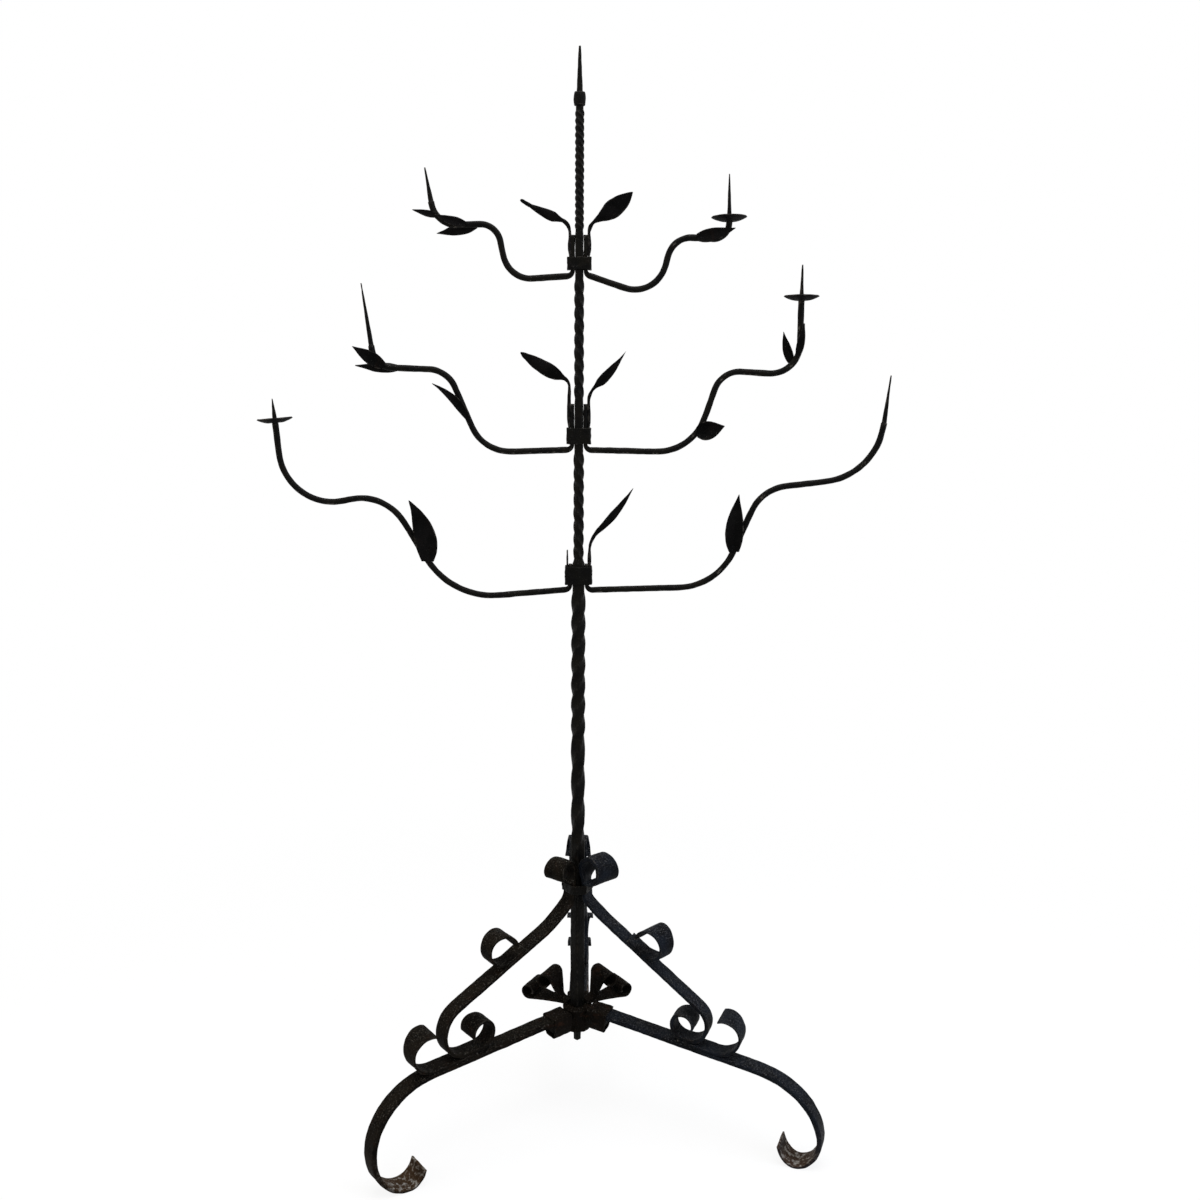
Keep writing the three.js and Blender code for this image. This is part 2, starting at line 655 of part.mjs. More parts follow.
function legGeometry(leg) {
  const stations = legStations(leg);
  const sizeAt = legSizeAt(endOf(stations).length);
  const strap = sweep(stations, (station) => {
    const { wide, thick } = sizeAt(station);
    return cutRectangle(wide, thick, thick * legCornerShare);
  });
  const reach = 2 * endOf(stations).length;
  const floor = boxSolid(reach, reach, 2 * legThickness, 0, 0, -legThickness);
  return fromSolid(toSolid(strap).subtract(floor));
}

// The straight part of a leg, as a place and a direction in the leg's plane.
function legLine(leg) {
  const start = legStations(leg)[0];
  return { x: start.x, z: start.z, angle: rad(-leg.fall) };
}

// The point of a leg's line at `reach` from the column, raised by `lift` square to the leg.
function aboveLeg(line, reach, lift) {
  const along = (reach - line.x) / Math.cos(line.angle);
  return {
    x: reach - lift * Math.sin(line.angle),
    z: line.z + along * Math.sin(line.angle) + lift * Math.cos(line.angle),
  };
}

const hookLift = legThickness / 2 + seatGap + hookThickness / 2;
const footLift = hookLift + hookThickness / 2 + seatGap + braceThickness / 2;

function braceStations(brace, leg) {
  const [topTurn, innerRadius, outerRadius] = brace.topScroll;
  const scroll = [[0, topTurn, innerRadius, outerRadius], [brace.scrollRise + braceCollarHeight]];
  const heading = -90 - topTurn;
  const drawn = endOf(walk({ x: 0, z: 0 }, heading, scroll));
  const start = { x: braceRadius - drawn.x, z: braceCollarBottom - drawn.z };
  const slope = -90 + brace.bends.reduce((sum, [, turn]) => sum + turn, 0);
  const footTurn = -180 - leg.fall - slope;
  const line = legLine(leg);
  const shape = (run) => walk(start, heading, [
    ...scroll, ...brace.bends, [run, footTurn, ...brace.foot],
  ]);
  const target = aboveLeg(line, line.x, footLift);
  const rest = endOf(shape(0));
  const normal = [-Math.sin(line.angle), Math.cos(line.angle)];
  const missing = (target.x - rest.x) * normal[0] + (target.z - rest.z) * normal[1];
  const gain = Math.cos(rad(slope)) * normal[0] + Math.sin(rad(slope)) * normal[1];
  const run = missing / gain;
  const straight = endOf(walk(start, heading, [...scroll, ...brace.bends]));
  const foot = endOf(shape(run));
  const stations = walk(start, heading, [
    ...scroll, ...brace.bends, [run, footTurn, ...brace.foot], [brace.lie], [0, ...brace.roll],
  ]);
  return { stations, straight, foot };
}

function braceGeometry(stations) {
  const flare = { width: braceFlareWidth, thickness: braceFlareThickness, length: braceFlareLength };
  const sizeAt = strapSectionAt([{ from: 'start', ...flare }, { from: 'end', ...flare }],
    braceWidth, braceThickness, endOf(stations).length);
  return sweep(stations, (station) => {
    const { wide, thick } = sizeAt(station);
    return flatSection(wide, thick);
  });
}

// A curl that lies on the brace's last straight and rolls back over itself.
function curlGeometry(straight, place) {
  const lift = braceThickness / 2 + seatGap + curlThickness / 2;
  const start = {
    x: straight.x + place * Math.cos(straight.angle) - lift * Math.sin(straight.angle),
    z: straight.z + place * Math.sin(straight.angle) + lift * Math.cos(straight.angle),
  };
  const stations = walk(start, THREE.MathUtils.radToDeg(straight.angle), [[curlTail], [0, ...curlRoll]]);
  const sizeAt = strapSectionAt([{
    from: 'end', width: curlWidth, thickness: curlEndThickness, length: braceFlareLength,
  }], braceWidth, curlThickness, endOf(stations).length);
  return sweep(stations, (station) => {
    const { wide, thick } = sizeAt(station);
    return flatSection(wide, thick);
  });
}

// A hook that lies on the leg under the brace's foot, rises beyond it and curls back.
function hookGeometry(leg, braceFoot, hookReach) {
  const start = aboveLeg(legLine(leg), braceFoot.x - hookTuck, hookLift);
  const tail = (hookReach - start.x) / Math.cos(rad(leg.fall));
  const stations = walk(start, -leg.fall, [
    [tail], ...hookRoll.map(([turn, radius, endRadius]) => [0, turn, radius, endRadius]),
  ]);
  const sizeAt = strapSectionAt([{
    from: 'end', width: hookFlareWidth, thickness: hookEndThickness, length: braceFlareLength,
  }], hookWidth, hookThickness, endOf(stations).length);
  return sweep(stations, (station) => {
    const { wide, thick } = sizeAt(station);
    return flatSection(wide, thick);
  });
}

// The section of a seat: flat on top, where the leg lies, and rounded below.
function seatOutline() {
  const half = legWidth / 2;
  const top = -legThickness / 2 - seatGap;
  return [
    [half, top], [-half, top], [-half, top - seatThickness / 3],
    [-half * 0.6, top - seatThickness], [half * 0.6, top - seatThickness], [half, top - seatThickness / 3],
  ];
}

function bandCorners() {
  const half = legWidth / 2;
  const low = seatOutline();
  return [low[2], low[3], low[4], low[5], [half, legThickness / 2], [-half, legThickness / 2]];
}

function legBandGeometry(leg) {
  const line = legLine(leg);
  const across = aboveLeg(line, bandPlace, 0);
  const band = bandGeometry(bandCorners(), bandWall, bandWidth);
  return band.rotateX(Math.PI / 2).rotateZ(Math.PI / 2).rotateY(-line.angle)
    .translate(across.x, 0, across.z);
}

function seatGeometry(leg) {
  const line = legLine(leg);
  const inner = aboveLeg(line, bossDiameter / 2 - seatThickness, 0);
  const outer = aboveLeg(line, seatLength, 0);
  return sweep([
    { ...inner, angle: line.angle, length: 0 },
    { ...outer, angle: line.angle, length: 1 },
  ], seatOutline);
}

function hubGeometry() {
  const bossRadius = bossDiameter / 2;
  const boss = new THREE.CylinderGeometry(bossRadius, bossRadius - bossTaper, bossHeight, bossSides)
    .rotateX(Math.PI / 2)
    .translate(0, 0, hubTop - seatGap - bossHeight / 2);
  boss.deleteAttribute('uv');
  boss.deleteAttribute('normal');
  let hub = toSolid(mergeVertices(boss));
  for (const leg of Object.values(legs)) {
    const seat = seatGeometry(leg).rotateZ(rad(leg.azimuth));
    hub = hub.add(toSolid(seat));
  }
  const bore = tenonSide + 2 * seatGap;
  const hole = new THREE.BoxGeometry(bore, bore, 4 * bossHeight)
    .rotateZ(Math.PI / 4)
    .translate(0, 0, hubTop);
  hole.deleteAttribute('uv');
  hole.deleteAttribute('normal');
  return fromSolid(hub.subtract(toSolid(mergeVertices(hole))));
}

// The two scrolls of one side of the hub: one lies on the boss, the other on the first.
function hubScrollGeometry(level, moves, width) {
  const lift = (hubScrollThickness + seatGap) * level + hubScrollThickness / 2;
  const stations = walk({ x: hubScrollStart, z: hubTop + lift }, 0, moves);
  const total = endOf(stations).length;
  return sweep(stations, (station) => {
    const share = THREE.MathUtils.smoothstep(station.length, bossDiameter / 4, total * 0.6);
    return flatSection(THREE.MathUtils.lerp(hubScrollRootWidth, width, share), hubScrollThickness);
  });
}

function buildHubScrolls() {
  const group = new THREE.Group();
  const outerMoves = [[outerHubScroll.run, ...outerHubScroll.roll]];
  const { run, bend, rise, roll } = upperHubScroll;
  const upperMoves = [[run, ...bend], [rise, ...roll]];
  for (const [name, azimuth] of Object.entries(hubScrollAzimuths)) {
    const side = new THREE.Group();
    side.rotation.z = rad(azimuth);
    side.add(
      ironMesh(`${name}_outer_hub_scroll`, hubScrollGeometry(0, outerMoves, hubScrollWidth), rustyIron),
      ironMesh(`${name}_upper_hub_scroll`, hubScrollGeometry(1, upperMoves, hubScrollWidth), rustyIron),
    );
    group.add(side);
  }
  const stub = ironMesh('front_hub_scroll_stub',
    hubScrollGeometry(0, [[frontStub.length]], frontStub.width), rustyIron);
  stub.rotation.z = rad(frontStub.azimuth);
  group.add(stub);
  return group;
}

// The corners of the three braces where the collar wraps them, in order against the clock.
function braceCollarCorners() {
  const outer = braceRadius + braceThickness / 2;
  const angles = Object.values(legs).map((leg) => rad(leg.azimuth)).sort((a, b) => a - b);
  return angles.flatMap((angle) => [-1, 1].map((side) => {
    const across = (side * braceWidth) / 2;
    return [
      outer * Math.cos(angle) - across * Math.sin(angle),
      outer * Math.sin(angle) + across * Math.cos(angle),
    ];
  }));
}

function buildLegs() {
  const group = new THREE.Group();
  for (const [name, leg] of Object.entries(legs)) {
    const finish = name === 'left' ? warmBlackPaint : coolBlackPaint;
    const { stations, straight, foot } = braceStations(braces[name], leg);
    const braceReach = Math.max(...stations.map((station) => station.x)) + braceThickness / 2;
    const hookReach = braceReach + braces[name].hookDistance;
    const assembly = new THREE.Group();
    assembly.rotation.z = rad(leg.azimuth);
    assembly.add(
      ironMesh(`${name}_leg`, legGeometry(leg), finish),
      ironMesh(`${name}_brace`, braceGeometry(stations), finish),
      ironMesh(`${name}_brace_curl`, curlGeometry(straight, braces[name].curlAt), finish),
      ironMesh(`${name}_leg_hook`, hookGeometry(leg, foot, hookReach), finish),
      ironMesh(`${name}_leg_band`, legBandGeometry(leg), rustyIron),
    );
    group.add(assembly);
  }
  const collar = bandGeometry(braceCollarCorners(), collarWall, braceCollarHeight);
  group.add(ironMesh('brace_collar', collar.translate(0, 0, braceCollarBottom), blackPaint));
  group.add(ironMesh('hub', hubGeometry(), rustyIron));
  return group;
}

// ---- The stand ------------------------------------------------------------------------------------

const stand = new THREE.Group();
stand.add(
  ironMesh('column', columnGeometry(), blackPaint),
  ironMesh('top_ferrule', ferruleGeometry(), blackPaint),
  buildTiers(),
  buildLegs(),
  buildHubScrolls(),
);

// The origin is on the floor, in the middle of the stand's outline.
const outline = new THREE.Box3().setFromObject(stand, true);
const middle = outline.getCenter(new THREE.Vector3());
stand.position.set(-middle.x, -middle.y, -outline.min.z);

export default stand;
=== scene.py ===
# %% [markdown]
# # A forged candle stand
# The stand is wrought iron: bars and straps that a smith heated, twisted, bent and hammered, then painted
# black. The CAD model gives every piece its exact place. This lesson gives the pieces what a CAD model
# leaves out: smooth bends, rounded edges, hammer marks, and old paint.
#
# The frame comes first, because every visible piece is made from it or fitted to it.

# %% Load the frame
import json
import math

import bmesh
import bpy
import numpy as np
from mathutils import Matrix, Vector


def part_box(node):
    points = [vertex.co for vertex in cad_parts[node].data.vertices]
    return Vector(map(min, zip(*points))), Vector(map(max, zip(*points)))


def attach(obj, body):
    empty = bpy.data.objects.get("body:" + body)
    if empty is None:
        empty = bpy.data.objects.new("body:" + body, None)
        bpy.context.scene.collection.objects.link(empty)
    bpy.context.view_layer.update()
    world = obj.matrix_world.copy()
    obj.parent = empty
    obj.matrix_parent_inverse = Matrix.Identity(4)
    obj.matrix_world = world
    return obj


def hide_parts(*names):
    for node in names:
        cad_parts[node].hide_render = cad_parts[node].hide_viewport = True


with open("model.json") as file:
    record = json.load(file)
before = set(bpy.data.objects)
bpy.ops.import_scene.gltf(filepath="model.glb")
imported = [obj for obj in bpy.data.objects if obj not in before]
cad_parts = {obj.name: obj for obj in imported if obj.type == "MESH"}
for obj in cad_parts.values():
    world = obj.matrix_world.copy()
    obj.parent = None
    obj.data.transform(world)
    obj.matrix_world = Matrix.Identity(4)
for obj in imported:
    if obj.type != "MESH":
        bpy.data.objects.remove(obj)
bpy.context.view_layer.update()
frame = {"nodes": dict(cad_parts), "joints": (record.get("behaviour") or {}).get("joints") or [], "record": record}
bodies = frame["record"]["behaviour"]["bodies"]
body_of = {node: body for body, nodes in bodies.items() for node in nodes}
slot_of = {part["node"]: part["material_slot"] for part in frame["record"]["subparts"]}

MM = 0.001
column_low, column_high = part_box("column")
column_x = (column_low.x + column_high.x) / 2
column_y = (column_low.y + column_high.y) / 2
print("column axis at x", round(column_x, 4), "y", round(column_y, 4))

# %% [markdown]
# ## Camera
# The photograph was taken from chest height, a little above the middle of the stand, looking slightly down.
# The lens and place below were fitted to the column, the arms and the feet.

# %% Camera
CAMERA_FROM_COLUMN = Vector((33.0, -1810.5, 1169.9)) * MM
CAMERA_LENS_MM = 36.07
CAMERA_SENSOR_MM = 36.0
CAMERA_PITCH_DOWN = math.radians(9.885)
CAMERA_ROLL = math.radians(0.33)

camera_data = bpy.data.cameras.new("camera")
camera_data.lens = CAMERA_LENS_MM
camera_data.sensor_width = CAMERA_SENSOR_MM
camera_data.clip_end = 60
camera = bpy.data.objects.new("camera", camera_data)
bpy.context.scene.collection.objects.link(camera)
facing = Matrix.Rotation(math.pi / 2 - CAMERA_PITCH_DOWN, 4, "X") @ Matrix.Rotation(CAMERA_ROLL, 4, "Z")
camera.matrix_world = Matrix.Translation(
    Vector((column_x, column_y, 0)) + CAMERA_FROM_COLUMN
) @ facing
bpy.context.scene.camera = camera
print("camera at", [round(value, 3) for value in camera.location])

# %% [markdown]
# ## Nodes by name
# Materials and Geometry Nodes are both trees of nodes. One small function adds a node of any kind, sets its
# options, and fills its sockets with either a value or a link. Colours are written as sRGB hex, the way a
# paint chart gives them, and turned to linear light once.

# %% Helpers for node trees and colours
def add(tree, kind, sockets=None, **options):
    node = tree.nodes.new(kind)
    for option, value in options.items():
        setattr(node, option, value)
    for socket, value in (sockets or {}).items():
        if isinstance(value, bpy.types.NodeSocket):
            tree.links.new(value, node.inputs[socket])
        else:
            node.inputs[socket].default_value = value
    return node


def linear(hex_colour):
    channels = [int(hex_colour[i:i + 2], 16) / 255 for i in (1, 3, 5)]
    return [c / 12.92 if c <= 0.04045 else ((c + 0.055) / 1.055) ** 2.4 for c in channels] + [1.0]


# %% [markdown]
# ## Studio
# A pale floor, a white background and soft light from large lamps. The white of the background is only shown
# to the camera and to reflections, so it adds no light to the iron. The view transform is Standard, so a
# colour comes out about as it is written.

# %% Floor, background and lamps
def seen_rays(tree):
    """1 for what the camera sees directly, in a reflection or through glass, and 0 for light that bounces."""
    path = add(tree, "ShaderNodeLightPath")
    mirrored = add(tree, "ShaderNodeMath", {
        0: path.outputs["Is Camera Ray"], 1: path.outputs["Is Glossy Ray"]}, operation="MAXIMUM")
    return add(tree, "ShaderNodeMath", {
        0: mirrored.outputs[0], 1: path.outputs["Is Transmission Ray"]}, operation="MAXIMUM")


AMBIENT_STRENGTH = 0.42    # light from all round, which lifts the shaded sides
bpy.context.scene.view_settings.view_transform = "Standard"
world = bpy.data.worlds.new("studio")
world.use_nodes = True
world.node_tree.nodes.clear()
ambient = add(world.node_tree, "ShaderNodeBackground", {
    "Color": linear("#f4f5f7"), "Strength": AMBIENT_STRENGTH})
backdrop = add(world.node_tree, "ShaderNodeBackground", {"Color": (1, 1, 1, 1), "Strength": 1.0})
world_mix = add(world.node_tree, "ShaderNodeMixShader", {
    0: seen_rays(world.node_tree).outputs[0], 1: ambient.outputs[0], 2: backdrop.outputs[0]})
add(world.node_tree, "ShaderNodeOutputWorld", {"Surface": world_mix.outputs[0]})
bpy.context.scene.world = world

FLOOR_HALF = 14.0    # from the middle to each side
FLOOR_WHITE_SHARE = 0.88    # the rest is matt and takes the stand's soft shadow
SHADOW_REACH = 0.7    # beyond this distance from the middle the floor fades to white
WHITE_FROM = 2.2 * SHADOW_REACH
floor_mesh = bpy.data.meshes.new("floor")
floor_mesh.from_pydata(
    [(x, y, 0) for x, y in ((-1, -1), (1, -1), (1, 1), (-1, 1))], [], [(0, 1, 2, 3)])
floor_mesh.transform(Matrix.Scale(FLOOR_HALF, 4))
floor = bpy.data.objects.new("floor", floor_mesh)
bpy.context.scene.collection.objects.link(floor)
floor_paint = bpy.data.materials.new("matt white studio floor")
floor_paint.use_nodes = True
floor_paint.node_tree.nodes.clear()
floor_matt = add(floor_paint.node_tree, "ShaderNodeBsdfDiffuse", {"Color": linear("#f7f7f6")})
floor_white = add(floor_paint.node_tree, "ShaderNodeEmission", {"Color": (1, 1, 1, 1), "Strength": 1.0})
floor_place = add(floor_paint.node_tree, "ShaderNodeTexCoord").outputs["Object"]
distance = add(floor_paint.node_tree, "ShaderNodeVectorMath", {0: floor_place}, operation="LENGTH")
paler = add(floor_paint.node_tree, "ShaderNodeMapRange", {
    "Value": distance.outputs["Value"], "From Min": SHADOW_REACH, "From Max": WHITE_FROM,
    "To Min": FLOOR_WHITE_SHARE, "To Max": 1.0}, interpolation_type="SMOOTHSTEP")
white_share = add(floor_paint.node_tree, "ShaderNodeMath", {
    0: seen_rays(floor_paint.node_tree).outputs[0], 1: paler.outputs[0]}, operation="MULTIPLY")
floor_mix = add(floor_paint.node_tree, "ShaderNodeMixShader", {
    0: white_share.outputs[0], 1: floor_matt.outputs[0], 2: floor_white.outputs[0]})
add(floor_paint.node_tree, "ShaderNodeOutputMaterial", {"Surface": floor_mix.outputs[0]})
floor_mesh.materials.append(floor_paint)


def softbox(name, place, target, size, watts, colour):
    """A square lamp that faces its target."""
    data = bpy.data.lights.new(name, "AREA")
    data.shape = "SQUARE"
    data.size = size
    data.energy = watts
    data.color = linear(colour)[:3]
    lamp = bpy.data.objects.new(name, data)
    bpy.context.scene.collection.objects.link(lamp)
    aim = (Vector(target) - Vector(place)).to_track_quat("-Z", "Y")
    lamp.matrix_world = Matrix.Translation(place) @ aim.to_matrix().to_4x4()


MIDDLE = (0, 0, 0.8)
softbox("overhead", (0.2, -0.6, 3.6), MIDDLE, 2.6, 95, "#ffffff")
softbox("cool_side", (2.9, -1.6, 2.0), MIDDLE, 1.8, 60, "#dfe8ff")
softbox("warm_side", (-2.9, -1.4, 1.7), MIDDLE, 1.8, 34, "#fff0de")
print("studio ready")

# %% [markdown]
# ## Old black paint on wrought iron
# Brushed black paint on hammered iron is matt and never evenly black. It takes a brown or blue cast in
# patches, pale dust and lime sit in the pits that face up, the sharp edges are worn through to grey iron, a
# little rust comes through, and the feet are scuffed where brooms and shoes meet them. Each of these is a
# mask made from noise of a real size, laid over the last one in that order. Some of them also carry painted
# light: on the twisted bar the grey of the worn edges stands in for glints, the pale scrapes on the feet are
# partly a painted reflection, and the straps get a warm brown cast on the left and a cool blue one on the
# right, which is painted light from each side. One function builds the finish, so that the bars, the straps
# and the sheet work can differ in cast and wear.

# %% Paint finishes
PATINA_SIZE = 30 * MM    # a patch that has faded to the other cast
DUST_SIZE = 2.2 * MM     # a grain of dust and the pit that holds it
FLECK_SIZE = 3.5 * MM    # spacing of the pale chips
CHIP_SIZE = 7 * MM       # a chip on a worn edge
RUST_SIZE = 14 * MM      # a rusted patch
PIT_SIZE = 1.3 * MM      # a pit in the scale under the paint
# the feet carry their scuffs and a painted reflection up to this height
SCUFF_HEIGHT = 80 * MM   # the feet are scuffed up to here
# grey of edges worn through, which on the twisted bar is also a painted glint
WORN_IRON_AND_PAINTED_GLINT = "#56524c"
RUST = "#26170f"
SCUFF = "#4f3b29"
# pale grey of chips and lime; on the feet it is also a painted reflection
LIME_AND_PAINTED_REFLECTION = "#8d8a84"


def painted_iron(name, paint, cast, dust, dusty, worn, rusted, scuffed, roughness, gloss):
    """Aged black paint over forged iron. Dusty, worn, rusted and scuffed are shares from 0 to 1.
    The grey of worn edges is also a painted glint on the twisted bar, and scuffed also sets a painted
    reflection on the feet.
    """
    material = bpy.data.materials.new(name)
    material.use_nodes = True
    tree = material.node_tree
    tree.nodes.clear()
    place = add(tree, "ShaderNodeTexCoord").outputs["Object"]
    surface = add(tree, "ShaderNodeNewGeometry")
    facing = add(tree, "ShaderNodeSeparateXYZ", {0: surface.outputs["Normal"]})
    upward = add(tree, "ShaderNodeMapRange", {
        "Value": facing.outputs["Z"], "From Min": -0.1, "From Max": 0.95, "To Min": 0.12},
        interpolation_type="SMOOTHSTEP")

    # patches of the second cast
    patches = add(tree, "ShaderNodeTexNoise", {
        "Vector": place, "Scale": 1 / PATINA_SIZE, "Detail": 5.0, "Roughness": 0.6})
    faded = add(tree, "ShaderNodeMapRange", {
        "Value": patches.outputs[0], "From Min": 0.36, "From Max": 0.64}, interpolation_type="SMOOTHSTEP")
    base = add(tree, "ShaderNodeMix", {
        0: faded.outputs[0], 6: linear(paint), 7: linear(cast)}, data_type="RGBA")

    # dust in the pits that face up, thicker in some places than in others
    grains = add(tree, "ShaderNodeTexNoise", {
        "Vector": place, "Scale": 1 / DUST_SIZE, "Detail": 3.0, "Roughness": 0.7})
    grainy = add(tree, "ShaderNodeMapRange", {
        "Value": grains.outputs[0], "From Min": 0.51, "From Max": 0.70, "To Max": dusty},
        interpolation_type="SMOOTHSTEP")
    drifts = add(tree, "ShaderNodeMapRange", {
        "Value": patches.outputs[0], "From Min": 0.62, "From Max": 0.36, "To Min": 0.35})
    settled = add(tree, "ShaderNodeMath", {0: grainy.outputs[0], 1: upward.outputs[0]}, operation="MULTIPLY")
    drifted = add(tree, "ShaderNodeMath", {0: settled.outputs[0], 1: drifts.outputs[0]}, operation="MULTIPLY")
    dusted = add(tree, "ShaderNodeMix", {
        0: drifted.outputs[0], 6: base.outputs[2], 7: linear(dust)}, data_type="RGBA")

    # a few pale chips, each under a millimetre across, mostly on top
    cells = add(tree, "ShaderNodeTexVoronoi", {"Vector": place, "Scale": 1 / FLECK_SIZE, "Randomness": 1.0})
    chip = add(tree, "ShaderNodeMapRange", {
        "Value": cells.outputs["Distance"], "From Min": 0.16, "From Max": 0.10, "To Max": 0.7 * dusty})
    chip_on_top = add(tree, "ShaderNodeMath", {
        0: chip.outputs[0], 1: upward.outputs[0]}, operation="MULTIPLY")
    flecked = add(tree, "ShaderNodeMix", {
        0: chip_on_top.outputs[0], 6: dusted.outputs[2], 7: linear(LIME_AND_PAINTED_REFLECTION)}, data_type="RGBA")

    # rust that comes through the paint
    bloom = add(tree, "ShaderNodeTexNoise", {
        "Vector": place, "Scale": 1 / RUST_SIZE, "Detail": 8.0, "Roughness": 0.68, "Distortion": 0.4})
    rusty = add(tree, "ShaderNodeMapRange", {
        "Value": bloom.outputs[0], "From Min": 0.54, "From Max": 0.68, "To Max": rusted},
        interpolation_type="SMOOTHSTEP")
    rusted_paint = add(tree, "ShaderNodeMix", {
        0: rusty.outputs[0], 6: flecked.outputs[2], 7: linear(RUST)}, data_type="RGBA")

    # edges worn through to the iron; on the twisted bar the same grey also stands in for glints, a painted
    # highlight
    ridge = add(tree, "ShaderNodeMapRange", {
        "Value": surface.outputs["Pointiness"], "From Min": 0.515, "From Max": 0.59, "To Max": worn},
        interpolation_type="SMOOTHSTEP")
    chips = add(tree, "ShaderNodeTexNoise", {
        "Vector": place, "Scale": 1 / CHIP_SIZE, "Detail": 5.0, "Roughness": 0.7})
    chipped = add(tree, "ShaderNodeMapRange", {
        "Value": chips.outputs[0], "From Min": 0.44, "From Max": 0.60}, interpolation_type="SMOOTHSTEP")
    bare_edge_and_glint = add(tree, "ShaderNodeMath", {0: ridge.outputs[0], 1: chipped.outputs[0]}, operation="MULTIPLY")
    worn_and_glint_paint = add(tree, "ShaderNodeMix", {
        0: bare_edge_and_glint.outputs[0], 6: rusted_paint.outputs[2], 7: linear(WORN_IRON_AND_PAINTED_GLINT)}, data_type="RGBA")

    # the scuffed upper face of the foot scrolls: brown scuffs, and pale patches that are partly scrapes and partly
    # a painted reflection
    height = add(tree, "ShaderNodeSeparateXYZ", {0: place})
    low_down = add(tree, "ShaderNodeMapRange", {
        "Value": height.outputs["Z"], "From Min": SCUFF_HEIGHT, "From Max": 0.3 * SCUFF_HEIGHT,
        "To Max": scuffed})
    low_upper_faces = add(tree, "ShaderNodeMath", {
        0: low_down.outputs[0], 1: upward.outputs[0]}, operation="MULTIPLY")
    browned = add(tree, "ShaderNodeMath", {0: low_upper_faces.outputs[0], 1: chips.outputs[0]}, operation="MULTIPLY")
    brown_foot = add(tree, "ShaderNodeMix", {
        0: browned.outputs[0], 6: worn_and_glint_paint.outputs[2], 7: linear(SCUFF)}, data_type="RGBA")
    scraped_and_reflecting = add(tree, "ShaderNodeMapRange", {
        "Value": chips.outputs[0], "From Min": 0.50, "From Max": 0.64}, interpolation_type="SMOOTHSTEP")
    scrape_and_painted_reflection = add(tree, "ShaderNodeMath", {0: low_upper_faces.outputs[0], 1: scraped_and_reflecting.outputs[0]}, operation="MULTIPLY")
    colour = add(tree, "ShaderNodeMix", {
        0: scrape_and_painted_reflection.outputs[0], 6: brown_foot.outputs[2], 7: linear(LIME_AND_PAINTED_REFLECTION)}, data_type="RGBA")

    # brush-thick paint is smoother than the dust on it
    matt = add(tree, "ShaderNodeMapRange", {
        "Value": chips.outputs[0], "From Min": 0.3, "From Max": 0.7,
        "To Min": roughness - 0.14, "To Max": roughness + 0.16})
    pits = add(tree, "ShaderNodeTexNoise", {
        "Vector": place, "Scale": 1 / PIT_SIZE, "Detail": 2.0, "Roughness": 0.6})
    relief = add(tree, "ShaderNodeMath", {0: pits.outputs[0], 1: chips.outputs[0], 2: grains.outputs[0]},
                 operation="MULTIPLY_ADD")
    bump = add(tree, "ShaderNodeBump", {"Height": relief.outputs[0], "Distance": 0.5 * MM, "Strength": 0.9})
    shader = add(tree, "ShaderNodeBsdfPrincipled", {
        "Base Color": colour.outputs[2], "Roughness": matt.outputs[0], "Normal": bump.outputs[0],
        "Metallic": 0.0, "Specular IOR Level": gloss})
    add(tree, "ShaderNodeOutputMaterial", {"Surface": shader.outputs[0]})
    return material


# Bars were painted often: the thickest, smoothest paint, with a faint shine on the twist.
# The grey of its worn edges also serves as painted glints along the ridges of the twist.
bar_paint = painted_iron(
    "aged black-painted wrought iron bar", paint="#050505", cast="#0c0b08", dust="#3a3732",
    dusty=0.5, worn=0.5, rusted=0.1, scuffed=0.0, roughness=0.46, gloss=0.035)
# The straps on the left get a warm brown-black cast, painted warm light from the left, and dust lies on their
# tops.
strap_paint_in_painted_warm_light = painted_iron(
    "black painted wrought iron strap in painted warm light", paint="#060504", cast="#110e0a", dust="#59544a",
    dusty=0.6, worn=0.6, rusted=0.3, scuffed=1.0, roughness=0.66, gloss=0.015)
# Those on the right and at the rear get a cold blue-black cast: painted cool light from the right.
strap_paint_in_painted_cool_light = painted_iron(
    "black painted wrought iron strap in painted cool light", paint="#060709", cast="#0f1319", dust="#5d5e60",
    dusty=0.6, worn=0.6, rusted=0.12, scuffed=1.0, roughness=0.62, gloss=0.03)
# Thin sheet was painted once and has gone dull.
sheet_paint = painted_iron(
    "black-painted forged sheet iron", paint="#040404", cast="#0c0b0b", dust="#393835",
    dusty=0.4, worn=0.45, rusted=0.1, scuffed=0.0, roughness=0.6, gloss=0.02)
# Water gathers at the hub, so rust has lifted much of the paint there.
rusty_iron = painted_iron(
    "rusty painted wrought iron", paint="#060504", cast="#0f0b08", dust="#4c4438",
    dusty=0.55, worn=0.5, rusted=0.6, scuffed=0.0, roughness=0.74, gloss=0.02)
print("paints:", [m.name for m in bpy.data.materials])

# %% [markdown]
# ## Hammer marks
# A forged surface is never flat: each blow leaves a shallow dent, 9 to 16 mm wide and mostly a few tenths
# of a millimetre deep. A bump map would only shade them, and the silhouette would stay machine-straight. So a
# Geometry Nodes tree moves the points themselves along their normals, by noise of the dents' real size.

